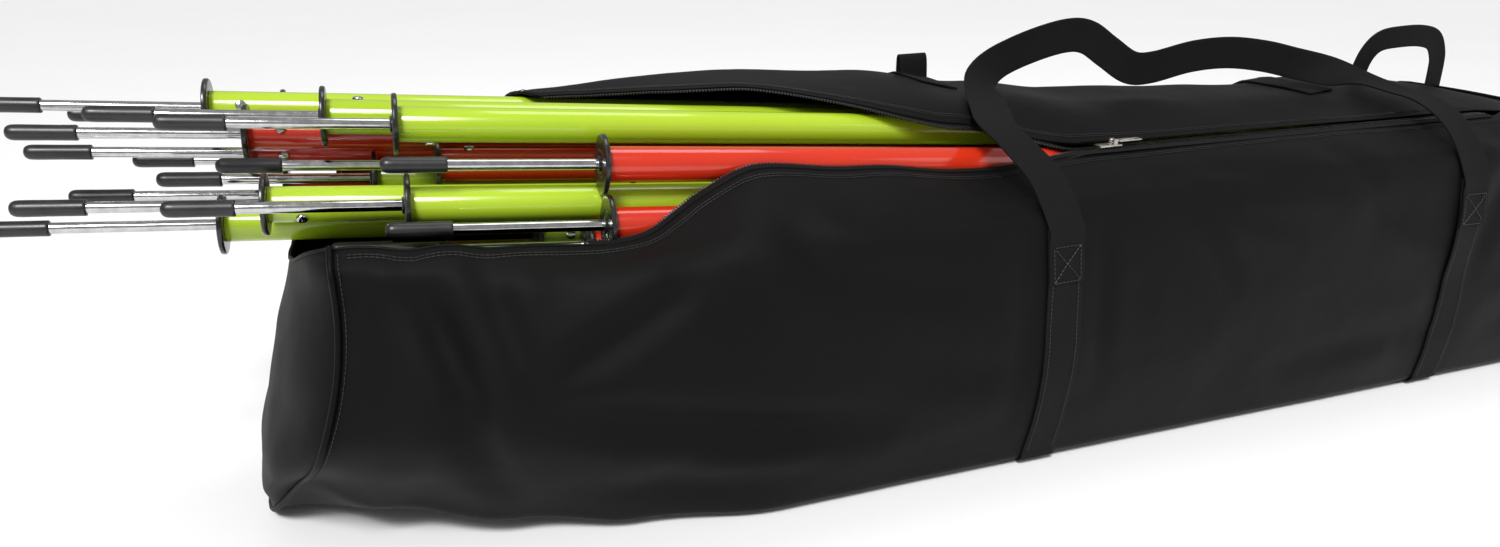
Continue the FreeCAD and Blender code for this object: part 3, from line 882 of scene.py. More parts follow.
    @staticmethod
    def even(outline: Sequence[Vector], start: float, end: float, count: int) -> list[Vector]:
        """Points at even distances along part of an outline.

        Args:
            outline: the section's points.
            start: where the part starts.
            end: where it ends.
            count: the number of steps.

        Returns:
            One more point than steps.
        """
        fine = count * 6
        samples = [catmull(outline, start + (end - start) * k / fine) for k in range(fine + 1)]
        reached = [0.0]
        for a, b in zip(samples, samples[1:]):
            reached.append(reached[-1] + (b - a).length)
        points = []
        for k in range(count + 1):
            wanted = reached[-1] * k / count
            index = min(max(bisect_right(reached, wanted) - 1, 0), fine - 1)
            gap = reached[index + 1] - reached[index]
            share = (wanted - reached[index]) / gap if gap > 1e-9 else 0.0
            points.append(samples[index].lerp(samples[index + 1], min(share, 1.0)))
        return points

    def lean(self, x: float, z: float) -> float:
        """The station that a point moves to: the left end leans with height."""
        share = min(max((x - self.left) / self.lean_length, 0), 1)
        share = 1 - share * share * (3 - 2 * share)
        rise = min(max(z / self.lean_height, 0), 1)
        seam = self.lean_start + self.lean_run * math.sin(math.pi / 2 * rise)
        return x + (seam - self.left) * share

    def relief(self, spot: Vector) -> float:
        """How far the slack and the creases move the cloth outwards, in millimetres."""
        q = spot * MM
        slack = 0.0
        for amount, (along, across, up), shift in self.slack:
            where = Vector((q.x * along, q.y * across, q.z * up)) + Vector(shift)
            slack += amount * noise.noise(where)
        quiet = min(max((self.zip_height - 8 - spot.z) / 30, 0.12), 1)
        front = min(max((-100 - spot.y) / 50, 0), 1)
        total = slack * (quiet if spot.x > 60 and spot.y < 40 else max(quiet, 0.5))
        if front > 0:
            total += front * self.fold_depth * sum(
                fold.reading(spot.x, spot.z) for fold in self.folds)
        total *= min(max((spot.z - 4) / 60, 0.15), 1)
        return total

    def sheet(self, shape: bmesh.types.BMesh, across: int, along: int,
              place: Callable[[int, int], Vector],
              flat: Callable[[int, int], tuple[float, float]]) -> list[bmesh.types.BMVert]:
        """Add a grid of cloth and carry it to its place.

        Args:
            shape: the bmesh it joins.
            across: its number of steps one way.
            along: its number of steps the other way.
            place: gives each crossing's point in millimetres.
            flat: gives each crossing's place in the cloth's own map, in metres.

        Returns:
            The grid's vertices.
        """
        made = bmesh.ops.create_grid(shape, x_segments=across, y_segments=along, size=1.0)
        verts = made["verts"]
        layer = shape.loops.layers.uv.get("cloth") or shape.loops.layers.uv.new("cloth")
        crossing = {}
        for vert in verts:
            i = round((vert.co.x + 1) / 2 * across)
            j = round((vert.co.y + 1) / 2 * along)
            crossing[vert] = (i, j)
        for vert, (i, j) in crossing.items():
            vert.co = place(i, j) * MM
        for face in {face for vert in verts for face in vert.link_faces}:
            for loop in face.loops:
                loop[layer].uv = flat(*crossing[loop.vert])
        return verts

    def lay_net(self) -> list[list[Vector]]:
        """The body's crossings, column by column, before the creases."""
        net = []
        for i in range(self.columns + 1):
            x = self.left + (self.right - self.left) * i / self.columns
            outline = self.section(x)
            near, far = self.limits(x, outline)
            ring = self.even(outline, near, 4.5, self.wall_rows)
            ring += self.even(outline, 4.5, 7.5, self.base_rows)[1:]
            ring += self.even(outline, 7.5, far, self.wall_rows)[1:]
            net.append([Vector((self.lean(x, p.z), p.y, p.z)) for p in ring])
        return net

    def crease(self, net: list[list[Vector]]) -> list[list[Vector]]:
        """Move every crossing by the slack and the creases along the cloth's normal."""
        moved = []
        for i, column in enumerate(net):
            before, after = net[max(i - 1, 0)], net[min(i + 1, len(net) - 1)]
            ring = []
            for j, spot in enumerate(column):
                run = after[j] - before[j]
                round_ = column[min(j + 1, len(column) - 1)] - column[max(j - 1, 0)]
                out = round_.cross(run)
                if out.length > 1e-9:
                    out.normalize()
                point = spot + out * self.relief(spot)
                point.z = max(point.z, self.floor_gap)
                ring.append(point)
            moved.append(ring)
        for j in range(self.rows + 1):
            moved[0][j].x = net[0][j].x
        last = moved[-1]
        for j, spot in enumerate(net[-1]):
            last[j] = spot.lerp(last[j], 0.3)
        last[self.rows] = last[0].copy()
        return moved

    @staticmethod
    def patch(front: Sequence[Vector], back: Sequence[Vector], low: Sequence[Vector],
              high: Sequence[Vector], u: float, v: float, i: int, j: int) -> Vector:
        """One crossing of a panel stretched between four edges."""
        across = front[j].lerp(back[j], u)
        up = low[i].lerp(high[i], v)
        corners = low[0].lerp(low[-1], u).lerp(high[0].lerp(high[-1], u), v)
        return across + up - corners

    def left_panel(self, shape: bmesh.types.BMesh) -> list[bmesh.types.BMVert]:
        """Add the full, leaning panel under the spikes."""
        ring = self.net[0]
        wall, base = self.wall_rows, self.base_rows
        front = [ring[wall - k] for k in range(wall + 1)]
        back = [ring[wall + base + k] for k in range(wall + 1)]
        low = [ring[wall + k] for k in range(base + 1)]
        dip = ((-150, 283), (-100, 270), (-40, 262), (10, 251), (60, 248), (130, 250),
               (190, 254))
        high = []
        for k in range(base + 1):
            spot = ring[0].lerp(ring[-1], k / base)
            inner = min(1.0, 4 * min(k, base - k) / base)
            spot.z += (blend_value(dip, spot.y) - spot.z) * inner
            high.append(spot)

        def place(i: int, j: int) -> Vector:
            """One crossing, with the panel's fullness."""
            u, v = i / base, j / wall
            spot = self.patch(front, back, low, high, u, v, i, j)
            full = 4 + 40 * min(spot.z, 256) / 256 + 30 * math.sin(
                math.pi * min(max(spot.z, 0), 256) / 256)
            out = (1 - (2 * u - 1) ** 2) ** 0.75 * full * min(1.0, 6 * v) ** 0.6
            wave = 5 * noise.noise(Vector((0.3, spot.y * 0.012, spot.z * 0.02)))
            wave += 2 * noise.noise(Vector((4.3, spot.y * 0.04, spot.z * 0.03)))
            edge = min(1.0, 6 * min(u, 1 - u, v))
            return spot + Vector((-out + wave * edge, 0, 0))

        verts = self.sheet(shape, base, wall, place,
                           lambda i, j: (i / base * 0.36, 2.0 + j / wall * 0.27))
        self.rim = [place(i, wall) for i in range(base + 1)]
        return verts

    def right_panel(self, shape: bmesh.types.BMesh) -> list[bmesh.types.BMVert]:
        """Add the closed panel at the far end."""
        ring = self.net[-1]
        wall, base, crown = self.wall_rows, self.base_rows, self.crown_rows
        tall = wall - crown
        front = [ring[wall - k] for k in range(tall + 1)]
        back = [ring[wall + base + k] for k in range(tall + 1)]
        low = [ring[wall + k] for k in range(base + 1)]
        high = [ring[crown - k] for k in range(crown + 1)]
        high += [ring[self.rows - 1 - k] for k in range(crown)]

        def place(i: int, j: int) -> Vector:
            """One crossing, with the panel's fullness."""
            u, v = i / base, j / tall
            spot = self.patch(front, back, low, high, u, v, i, j)
            full = 14 * math.sin(math.pi * u) * math.sin(math.pi * v)
            wave = 4 * noise.noise(Vector((8.3, spot.y * 0.015, spot.z * 0.02)))
            edge = min(1.0, 6 * min(u, 1 - u, v, 1 - v))
            return spot + Vector((full + wave * edge, 0, 0))

        return self.sheet(shape, base, tall, place,
                          lambda i, j: (i / base * 0.36, 3.0 + j / tall * 0.27))

    def build(self) -> bpy.types.Object:
        """Sew the skin and dress it.

        Returns:
            The bag's cloth.
        """
        self.net = self.crease(self.lay_net())
        shape = bmesh.new()
        middle = self.net[self.columns // 2]
        reached = [0.0]
        for a, b in zip(middle, middle[1:]):
            reached.append(reached[-1] + (b - a).length * MM)
        body = self.sheet(
            shape, self.columns, self.rows, lambda i, j: self.net[i][j],
            lambda i, j: ((self.left + (self.right - self.left) * i / self.columns) * MM,
                          reached[j]))
        ends = self.left_panel(shape) + self.right_panel(shape)
        doubles = bmesh.ops.find_doubles(shape, verts=body + ends, keep_verts=body, dist=2e-5)
        bmesh.ops.weld_verts(shape, targetmap=doubles["targetmap"])
        bmesh.ops.remove_doubles(shape, verts=shape.verts, dist=2e-5)
        bmesh.ops.recalc_face_normals(shape, faces=shape.faces)
        shape.normal_update()
        low = min(shape.faces, key=lambda face: face.calc_center_median().z)
        if low.normal.z > 0:
            bmesh.ops.reverse_faces(shape, faces=shape.faces)
        piece = add_piece("bag_cloth", shape, Slot.BAG, "bag", ["bag_body"], 180.0)
        skin = piece.modifiers.new("cloth thickness", "SOLIDIFY")
        skin.thickness = self.wall * MM
        skin.offset = -1.0
        soften = piece.modifiers.new("soft cloth", "SUBSURF")
        soften.levels = 1
        soften.render_levels = 1
        LOG.info("bag cloth: %d faces sewn", len(piece.data.polygons))
        return piece

    def surface(self, x: float, row: float) -> tuple[Vector, Vector]:
        """Read the cloth's outside at a station and a row.

        Args:
            x: the station before the end's lean, in millimetres.
            row: the row from the near mouth edge, which may be fractional.

        Returns:
            The point and the outward normal, in millimetres.
        """
        c = min(max((x - self.left) / (self.right - self.left) * self.columns, 0),
                self.columns - 1e-6)
        r = min(max(row, 0), self.rows - 1e-6)
        i, j = int(c), int(r)
        a, b = self.net[i], self.net[i + 1]
        spot = a[j].lerp(b[j], c - i).lerp(a[j + 1].lerp(b[j + 1], c - i), r - j)
        run = (b[j] - a[j]).lerp(b[j + 1] - a[j + 1], r - j)
        round_ = (a[j + 1] - a[j]).lerp(b[j + 1] - b[j], c - i)
        out = round_.cross(run).normalized()
        return spot, out

    def front_row(self, x: float, height: float) -> float:
        """The row on the front wall at a height."""
        for row in range(self.wall_rows):
            if self.surface(x, row)[0].z > height >= self.surface(x, row + 1)[0].z:
                high, low = self.surface(x, row)[0].z, self.surface(x, row + 1)[0].z
                return row + (high - height) / (high - low)
        return 0.0


# ---------------------------------------------------------------------------------------------
# Ribbons, seams and stitches.
# ---------------------------------------------------------------------------------------------


@dataclass
class Ribbon:
    """A flat woven band between two edges."""

    name: str
    edges: list[tuple[Vector, Vector]]
    thickness: float
    slot: Slot
    across: int = 6
    crown: float = 0.0

    def build(self, body: str, nodes: Sequence[str] = ()) -> bpy.types.Object:
        """Weave the band.

        Args:
            body: the body it rides on.
            nodes: the CAD nodes that it stands for.

        Returns:
            The band.
        """
        shape = bmesh.new()
        count = len(self.edges) - 1
        verts = bmesh.ops.create_grid(shape, x_segments=self.across, y_segments=count,
                                      size=1.0)["verts"]
        layer = shape.loops.layers.uv.new("ribbon")
        run = [0.0]
        for (a, b), (c, d) in zip(self.edges, self.edges[1:]):
            run.append(run[-1] + ((c + d) / 2 - (a + b) / 2).length * MM)
        crossing = {}
        for vert in verts:
            crossing[vert] = (round((vert.co.x + 1) / 2 * self.across),
                              round((vert.co.y + 1) / 2 * count))
        for vert, (i, j) in crossing.items():
            a, b = self.edges[j]
            c, d = self.edges[min(j + 1, count)] if j < count else self.edges[j - 1]
            ahead = ((c + d) - (a + b)) * (1 if j < count else -1)
            out = (b - a).cross(ahead)
            lift = self.crown * (1 - (2 * i / self.across - 1) ** 2)
            spot = a.lerp(b, i / self.across)
            if out.length > 1e-9:
                spot = spot + out.normalized() * lift
            vert.co = spot * MM
        for face in shape.faces:
            for loop in face.loops:
                i, j = crossing[loop.vert]
                width = (self.edges[j][1] - self.edges[j][0]).length * MM
                loop[layer].uv = (width * i / self.across, run[j])
        piece = add_piece(self.name, shape, self.slot, body, nodes, 60.0)
        skin = piece.modifiers.new("band thickness", "SOLIDIFY")
        skin.thickness = self.thickness * MM
        skin.offset = 0.0
        ease = piece.modifiers.new("eased selvedge", "BEVEL")
        ease.width = self.thickness * 0.25 * MM
        ease.segments = 2
        ease.limit_method = "ANGLE"
        ease.angle_limit = math.radians(50)
        return piece


def round_cord(name: str, points: Sequence[Vector], radius: float, slot: Slot, body: str,
               closed: bool = False) -> bpy.types.Object:
    """A piped or rolled edge: a round cord sewn along points.

    Args:
        name: the piece's name.
        points: its line in millimetres.
        radius: its radius in millimetres.
        slot: its finish.
        body: the body it rides on.
        closed: whether it runs round to its start.

    Returns:
        The piece, made a mesh.
    """
    curve = bpy.data.curves.new(name + "_line", "CURVE")
    curve.dimensions = "3D"
    curve.bevel_depth = radius * MM
    curve.bevel_resolution = 2
    curve.resolution_u = 2
    curve.use_fill_caps = True
    spline = curve.splines.new("NURBS")
    spline.points.add(len(points) - 1)
    for target, point in zip(spline.points, points):
        target.co = (*(point * MM), 1)
    spline.order_u = 3
    spline.use_cyclic_u = closed
    spline.use_endpoint_u = not closed
    holder = bpy.data.objects.new(name + "_line", curve)
    bpy.context.scene.collection.objects.link(holder)
    mesh = bpy.data.meshes.new_from_object(holder)
    bpy.data.objects.remove(holder)
    mesh.name = name
    return add_piece(name, mesh, slot, body, (), 60.0)


@dataclass
class Stitching:
    """Rows of lockstitch laid on cloth and webbing."""

    length: float = 3.0
    gap: float = 1.3
    thread: float = 0.38
    shape: bmesh.types.BMesh = field(default_factory=bmesh.new)
    count: int = 0

    def row(self, points: Sequence[Vector]) -> None:
        """Sew along a line of points in millimetres."""
        reached = [0.0]
        for a, b in zip(points, points[1:]):
            reached.append(reached[-1] + (b - a).length)

        def at(distance: float) -> Vector:
            """The point at a distance along the line."""
            index = min(max(bisect_right(reached, distance) - 1, 0), len(points) - 2)
            gap = max(reached[index + 1] - reached[index], 1e-9)
            return points[index].lerp(points[index + 1], (distance - reached[index]) / gap)

        pitch = self.length + self.gap
        start = self.gap
        while start + self.length < reached[-1]:
            a, b = at(start), at(start + self.length)
            self.stitch(a, b)
            start += pitch

    def stitch(self, a: Vector, b: Vector) -> None:
        """Lay one stitch from a to b."""
        run = b - a
        if run.length < 1e-6:
            return
        turn = run.to_track_quat("Z", "Y").to_matrix().to_4x4()
        bmesh.ops.create_cone(
            self.shape, cap_ends=True, segments=5, radius1=self.thread * MM,
            radius2=self.thread * MM, depth=run.length * MM,
            matrix=Matrix.Translation((a + b) / 2 * MM) @ turn)
        self.count += 1

    def finish(self, name: str, body: str) -> bpy.types.Object:
        """Make the rows a piece that rides on a body."""
        made = self.count
        piece = add_piece(name, self.shape, Slot.WEBBING, body, (), 30.0)
        piece.data.materials[0] = thread_finish()
        LOG.info("%s: %d stitches", name, made)
        return piece


_thread: list[bpy.types.Material] = []


def thread_finish() -> bpy.types.Material:
    """The sewing thread's material, built once."""
    if not _thread:
        _thread.append(MouldedPlastic("sewing_thread", (0.45, 0.70), 2500.0, 0.0,
                                      (0.012, 0.012, 0.012), (0.042, 0.041, 0.040)).material())
    return _thread[0]


@dataclass
class Seams:
    """The piping, the rolled edges of the mouth and the topstitching on the cloth."""

    cloth: BagCloth
    piping: float = 2.6
    hem: float = 1.5
    inset: float = 11.0
    row_gap: float = 3.5
    seam_row: float = 6.0
    rim_row: float = 7.0
    proud: float = 0.45
    point_gap: float = 8.0
    hem_inset: float = 0.4
    hem_lift: float = -0.6

    def edge_line(self, far: bool, start: float, end: float, inset: float,
                  lift: float) -> list[Vector]:
        """Points along a mouth edge.

        Args:
            far: whether it is the far edge.
            start: the first station.
            end: the last station.
            inset: the distance from the edge onto the cloth.
            lift: the height above the cloth.

        Returns:
            The points in millimetres.
        """
        points = []
        count = max(int((end - start) / self.point_gap), 4)
        for k in range(count + 1):
            x = start + (end - start) * k / count
            row = self.cloth.rows if far else 0
            step = -1 if far else 1
            edge, out = self.cloth.surface(x, row)
            inner, _ = self.cloth.surface(x, row + step)
            run = (inner - edge).length or 1.0
            spot, out = self.cloth.surface(x, row + step * inset / run)
            points.append(spot + out * lift)
        return points

    def seam_ring(self, column: int, lift: float, shift: float) -> list[Vector]:
        """Points round an end seam, moved outwards and along the bag."""
        x = self.cloth.left + (self.cloth.right - self.cloth.left) * column / self.cloth.columns
        points = []
        for row in range(self.cloth.rows + 1):
            spot, out = self.cloth.surface(x, row)
            moved = spot + out * lift + Vector((shift, 0, 0))
            moved.z = max(moved.z, self.piping + 0.2)
            points.append(moved)
        return points

    def build(self) -> None:
        """Pipe the end seams, roll the mouth's edges and sew the topstitching."""
        cloth = self.cloth
        round_cord("end_piping_left", self.seam_ring(0, 1.2, 0.0)[::2], self.piping, Slot.BAG,
                   "bag")
        ring = self.seam_ring(cloth.columns, 0.8, 1.0)
        round_cord("end_piping_right", ring[:-1:2], self.piping, Slot.BAG, "bag", True)
        for far_side, label in ((False, "near"), (True, "far")):
            line = self.edge_line(far_side, cloth.left, cloth.mouth_end - 6, self.hem_inset,
                                  self.hem_lift)
            round_cord(f"mouth_hem_{label}", line, self.hem, Slot.BAG, "bag")
        round_cord("mouth_hem_end", [spot + Vector((0, 0, -0.4)) for spot in cloth.rim],
                   self.hem + 0.3, Slot.BAG, "bag")
        rows = Stitching()
        for far_side in (False, True):
            for inset in (self.inset, self.inset + self.row_gap):
                rows.row(self.edge_line(far_side, cloth.left + 12, cloth.zip_end, inset,
                                        self.proud))
        x = cloth.left + self.seam_row
        rows.row([spot + out * self.proud for spot, out in
                  (cloth.surface(x, row * 0.5) for row in range(2, 2 * cloth.wall_rows))])
        drop = Vector((0, 0, -self.rim_row))
        rows.row([spot + drop + Vector((-0.7, 0, 0)) for spot in cloth.rim[1:-1]])
        rows.finish("topstitching", "bag")
        LOG.info("seams: piped, hemmed and stitched")


@dataclass
class Zip:
    """Both tapes with their rows of teeth, the slider and its pull."""

    cloth: BagCloth
    tape: float = 1.0
    pitch: float = 3.2
    tooth: tuple[float, float, float] = (1.9, 2.6, 1.9)
    rail_middle: float = 310.5
    rail_offset: float = 3.53
    outer_lap: float = 6.0
    outer_sink: float = 2.4
    inner_lap: float = 7.0
    inner_sink: float = 1.4
    closing: tuple[float, float] = (84, 50)
    closed_width: float = 14.0
    closed_sink: float = 1.2
    point_gap: float = 8.0
    start: float = -404.0

    def line(self, far: bool) -> list[tuple[Vector, Vector, Vector]]:
        """The tape's outer edge, inner edge and its normal along one side."""
        cloth = self.cloth
        count = int((cloth.zip_end - self.start) / self.point_gap)
        side = 1 if far else -1
        made = []
        for k in range(count + 1):
            x = self.start + (cloth.zip_end - self.start) * k / count
            row = cloth.rows if far else 0
            edge, out = cloth.surface(x, row)
            inner, _ = cloth.surface(x, row - 1 if far else row + 1)
            ahead = (edge - inner).normalized()
            outer_edge = edge - ahead * self.outer_lap - out * self.outer_sink
            inner_edge = edge + ahead * self.inner_lap - out * self.inner_sink
            share = min(max((x - self.closing[0]) / self.closing[1], 0), 1)
            share = share * share * (3 - 2 * share)
            closed_inner = Vector((edge.x, cloth.zip_line + side * self.rail_offset,
                                   self.rail_middle))
            closed_outer = Vector((edge.x, cloth.zip_line + side * self.closed_width,
                                   self.rail_middle - self.closed_sink))
            made.append((outer_edge.lerp(closed_outer, share),
                         inner_edge.lerp(closed_inner, share),
                         out.lerp(Vector((0, 0, 1)), share).normalized()))
        return made

    def teeth(self, name: str, far: bool,
              line: Sequence[tuple[Vector, Vector, Vector]]) -> bpy.types.Object:
        """Set the teeth along one tape's inner edge.

        Args:
            name: the piece's name.
            far: whether it is the far tape, whose teeth are half a pitch on.
            line: the tape's edges and normals.

        Returns:
            The teeth.
        """
        shape = bmesh.new()
        reached = [0.0]
        for (_, a, _), (_, b, _) in zip(line, line[1:]):
            reached.append(reached[-1] + (b - a).length)
        along = self.pitch * (0.5 if far else 0.0) + 1.0
        while along < reached[-1] - 1.0:
            index = min(bisect_right(reached, along) - 1, len(line) - 2)
            share = (along - reached[index]) / (reached[index + 1] - reached[index])
            outer = line[index][0].lerp(line[index + 1][0], share)
            inner = line[index][1].lerp(line[index + 1][1], share)
            up = line[index][2].lerp(line[index + 1][2], share).normalized()
            run = (line[index + 1][1] - line[index][1]).normalized()
            ahead = (inner - outer).normalized()
            up = run.cross(ahead).normalized() * (1 if run.cross(ahead).dot(up) > 0 else -1)
            ahead = up.cross(run) if up.cross(run).dot(ahead) > 0 else run.cross(up)
            axes = Matrix((run, ahead, up)).transposed().to_4x4()
            size = Matrix.Diagonal((*self.tooth, 1.0))
            spot = inner + ahead * (self.tooth[1] * 0.28)
            made = bmesh.ops.create_cube(shape, size=1.0)["verts"]
            for vert in made:
                if vert.co.y > 0:
                    vert.co.x *= 0.72
                    vert.co.z *= 0.8
            bmesh.ops.transform(
                shape, verts=made,
                matrix=Matrix.Scale(MM, 4) @ Matrix.Translation(spot) @ axes @ size)
            along += self.pitch
        return add_piece(name, shape, Slot.PLASTIC, "bag", (), 30.0)

    def build(self) -> None:
        """Lay the tapes and teeth, then dress the slider and the pull."""
        for far, label, node in ((False, "near", "zip_tape_front"), (True, "far", "zip_tape_back")):
            line = self.line(far)
            edges = [(inner, outer) if far else (outer, inner) for outer, inner, _ in line]
            Ribbon(f"zip_tape_{label}", edges, self.tape, Slot.TAPE, 4).build("bag", [node])
            self.teeth(f"zip_teeth_{label}", far, line)
        self.cast("zip_slider_cast", "zip_slider", "slider", 0.5)
        self.cast("zip_pull_tab", "zip_pull", "pull", 0.45)
        LOG.info("zip: tapes, teeth, slider and pull")

    def cast(self, name: str, node: str, body: str, ease: float) -> bpy.types.Object:
        """Ease the edges of a die-cast part.

        Args:
            name: the piece's name.
            node: the CAD node that it copies and stands for.
            body: the body it rides on.
            ease: the edge's width in millimetres.

        Returns:
            The part.
        """
        shape = bmesh.new()
        shape.from_mesh(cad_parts[node].data)
        bmesh.ops.remove_doubles(shape, verts=shape.verts, dist=2e-6)
        bmesh.ops.dissolve_limit(shape, angle_limit=math.radians(2), verts=shape.verts,
                                 edges=shape.edges)
        sharp = [edge for edge in shape.edges
                 if edge.is_manifold and edge.calc_face_angle(0) > math.radians(35)]
        bmesh.ops.bevel(shape, geom=sharp, offset=ease * MM, offset_type="OFFSET",
                        affect="EDGES", segments=2, profile=0.5, material=-1,
                        clamp_overlap=True)
        return add_piece(name, shape, Slot.ZIP_METAL, body, [node], 35.0)


@dataclass
class Webbing:
    """The two bands round the bag, the carry handle, the grab handle and the loop tab."""

    cloth: BagCloth
    half: float = 20.0
    thickness: float = 1.9
    stations: tuple[float, float] = (46.0, 606.0)
    top: float = 262.0

    def on_cloth(self, x: float, row: float, lift: float) -> Vector:
        """A point above the cloth."""
        spot, out = self.cloth.surface(x, row)
        return spot + out * lift

    def band(self, name: str, station: float, node: str, rows: Stitching) -> None:
        """Sew one band down the front, under the base and up the back.

        Args:
            name: the piece's name.
            station: its middle along the bag.
            node: the CAD node that it stands for.
            rows: the stitching it adds to.
        """
        cloth = self.cloth
        start = cloth.front_row(station, self.top)
        end = cloth.rows - 7
        count = int((end - start) * 2)
        edges = []
        for k in range(count + 1):
            row = start + (end - start) * k / count
            low, _ = cloth.surface(station - self.half, row)
            high, out = cloth.surface(station + self.half, row)
            lift = 1.5 if low.z > 20 else 1.2
            middle = self.on_cloth(station, row, lift)
            run = Vector((self.half, (high.y - low.y) / 2, (high.z - low.z) / 2))
            proud = max(0.0, max(
                (self.on_cloth(station + s * self.half, row, lift) - (middle + run * s)).dot(out)
                for s in (-1.0, -0.5, 0.5, 1.0)))
            middle = middle + out * proud
            middle.z = max(middle.z, 1.15)
            edges.append((middle + run, middle - run))
        Ribbon(name, edges, self.thickness, Slot.WEBBING).build("bag", [node])
        for share in (0.12, 0.88):
            line = [a.lerp(b, share) + self.lift_of(a, b, c, d) for (a, b), (c, d)
                    in zip(edges, edges[1:])]
            rows.row([spot for spot in line if spot.z > 14])

    def lift_of(self, a: Vector, b: Vector, c: Vector, d: Vector) -> Vector:
        """The step from a band's middle to the thread on its outer face."""
        out = (a - b).cross((c + d) - (a + b)).normalized()
        if out.dot(Vector((0, (a.y + b.y) / 2, (a.z + b.z) / 2 - 150))) < 0:
            out = -out
        return out * (self.thickness / 2 + 0.25)

    def carry_handle(self, rows: Stitching) -> None:
        """Run the long handle from the near band, over the mouth, and back to the far band.

        Args:
            rows: the stitching it adds to.
        """
        left, right = self.stations
        cloth = self.cloth

        def foot(station: float) -> list[Vector]:
            """The stitched end of the handle, from low to high."""
            return [self.on_cloth(station, cloth.front_row(station, z), 4.2)
                    for z in (206, 226, 246, 262)]

        x_axis = Vector((1, 0, 0))
        path: list[tuple[Vector, Vector]] = [(spot, x_axis) for spot in foot(left)]
        path += [
            (Vector((36, -166, 304)), x_axis), (Vector((24, -134, 330)), x_axis),
            (Vector((24, -92, 345)), Vector((1, 0, 0.04))),
            (Vector((44, -46, 352)), Vector((0.98, -0.2, 0.02))),
            (Vector((66, 0, 358)), Vector((0.95, -0.3, -0.08))),
            (Vector((86, 38, 368)), Vector((0.86, -0.2, -0.46))),
            (Vector((120, 58, 383)), Vector((0.60, 0, -0.80))),
            (Vector((168, 62, 399)), Vector((0.36, 0, -0.93))),
            (Vector((215, 62, 409)), Vector((0.16, 0, -0.99))),
            (Vector((246, 62, 406)), Vector((-0.30, 0, -0.95))),
            (Vector((276, 60, 388)), Vector((-0.58, 0, -0.81))),
            (Vector((310, 57, 368)), Vector((-0.40, 0, -0.92))),
            (Vector((345, 58, 366)), Vector((0.04, 0, -1))),
            (Vector((410, 62, 376)), Vector((0.10, 0, -1))),
            (Vector((470, 63, 378)), Vector((-0.04, 0, -1))),
            (Vector((530, 62, 371)), Vector((-0.16, 0, -0.98))),
            (Vector((580, 56, 360)), Vector((-0.30, 0, -0.95))),
            (Vector((616, 30, 351)), Vector((-0.75, 0.2, -0.62))),
            (Vector((632, -10, 345)), Vector((-0.97, 0.2, -0.12))),
            (Vector((628, -60, 339)), Vector((-1, 0.05, 0))),
            (Vector((620, -100, 336)), -x_axis), (Vector((610, -140, 323)), -x_axis),
            (Vector((604, -170, 300)), -x_axis),
        ]
        path += [(spot, -x_axis) for spot in reversed(foot(right))]
        edges = self.edges_along(path, 7)
        piece = Ribbon("carry_handle_band", edges, self.thickness, Slot.WEBBING, 8, 1.2).build(
            "bag", ["carry_handle"])
        piece.parent = None
        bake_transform(piece)
        for station in self.stations:
            self.box_stitch(station, rows)

    def edges_along(self, path: Sequence[tuple[Vector, Vector]],
                    fine: int) -> list[tuple[Vector, Vector]]:
        """Both edges of a band along a smooth path.

        Args:
            path: points with the direction across the band at each.
            fine: the number of steps between two points.

        Returns:
            Pairs of edge points.
        """
        middles = [spot for spot, _ in path]
        sides = [side.normalized() for _, side in path]
        edges = []
        for k in range((len(path) - 1) * fine + 1):
            t = k / fine
            spot = catmull(middles, t)
            side = catmull(sides, t).normalized()
            ahead = (catmull(middles, min(t + 0.05, len(path) - 1))
                     - catmull(middles, max(t - 0.05, 0))).normalized()
            side = (side - ahead * side.dot(ahead)).normalized()
            edges.append((spot + side * self.half, spot - side * self.half))
        return edges

    def box_stitch(self, station: float, rows: Stitching) -> None:
        """Sew a crossed box through the handle's end."""
        cloth = self.cloth

        def spot(across: float, height: float) -> Vector:
            """A point on the handle's outer face."""
            return self.on_cloth(station + across, cloth.front_row(station, height), 5.5)

        corners = [(-16, 209), (16, 209), (16, 243), (-16, 243)]
        lines = list(zip(corners, corners[1:] + corners[:1]))
        lines += [(corners[0], corners[2]), (corners[1], corners[3])]
        for (a, za), (b, zb) in lines:
            rows.row([spot(a + (b - a) * k / 8, za + (zb - za) * k / 8) for k in range(9)])

    def grab_handle(self) -> None:
        """Stand the short handle near the closed end."""
        path = [
            (Vector((723, 79, 308)), Vector((1, 0, 0.1))),
            (Vector((727, 79, 342)), Vector((0.95, 0, -0.3))),
            (Vector((738, 79, 366)), Vector((0.8, 0, -0.6))),
            (Vector((758, 79, 380)), Vector((0.4, 0, -0.92))),
            (Vector((792, 79, 384)), Vector((0.05, 0, -1))),
            (Vector((832, 79, 384)), Vector((-0.05, 0, -1))),
            (Vector((860, 79, 377)), Vector((-0.5, 0, -0.87))),
            (Vector((874, 79, 358)), Vector((-0.85, 0, -0.5))),
            (Vector((878, 79, 338)), Vector((-0.98, 0, -0.15))),
            (Vector((879, 79, 298)), Vector((-1, 0, 0.0))),
        ]
        narrow = Webbing(self.cloth, half=15.0)
        Ribbon("grab_handle_band", narrow.edges_along(path, 6), self.thickness, Slot.WEBBING,
               8, 1.0).build("grab_handle", ["grab_handle"])

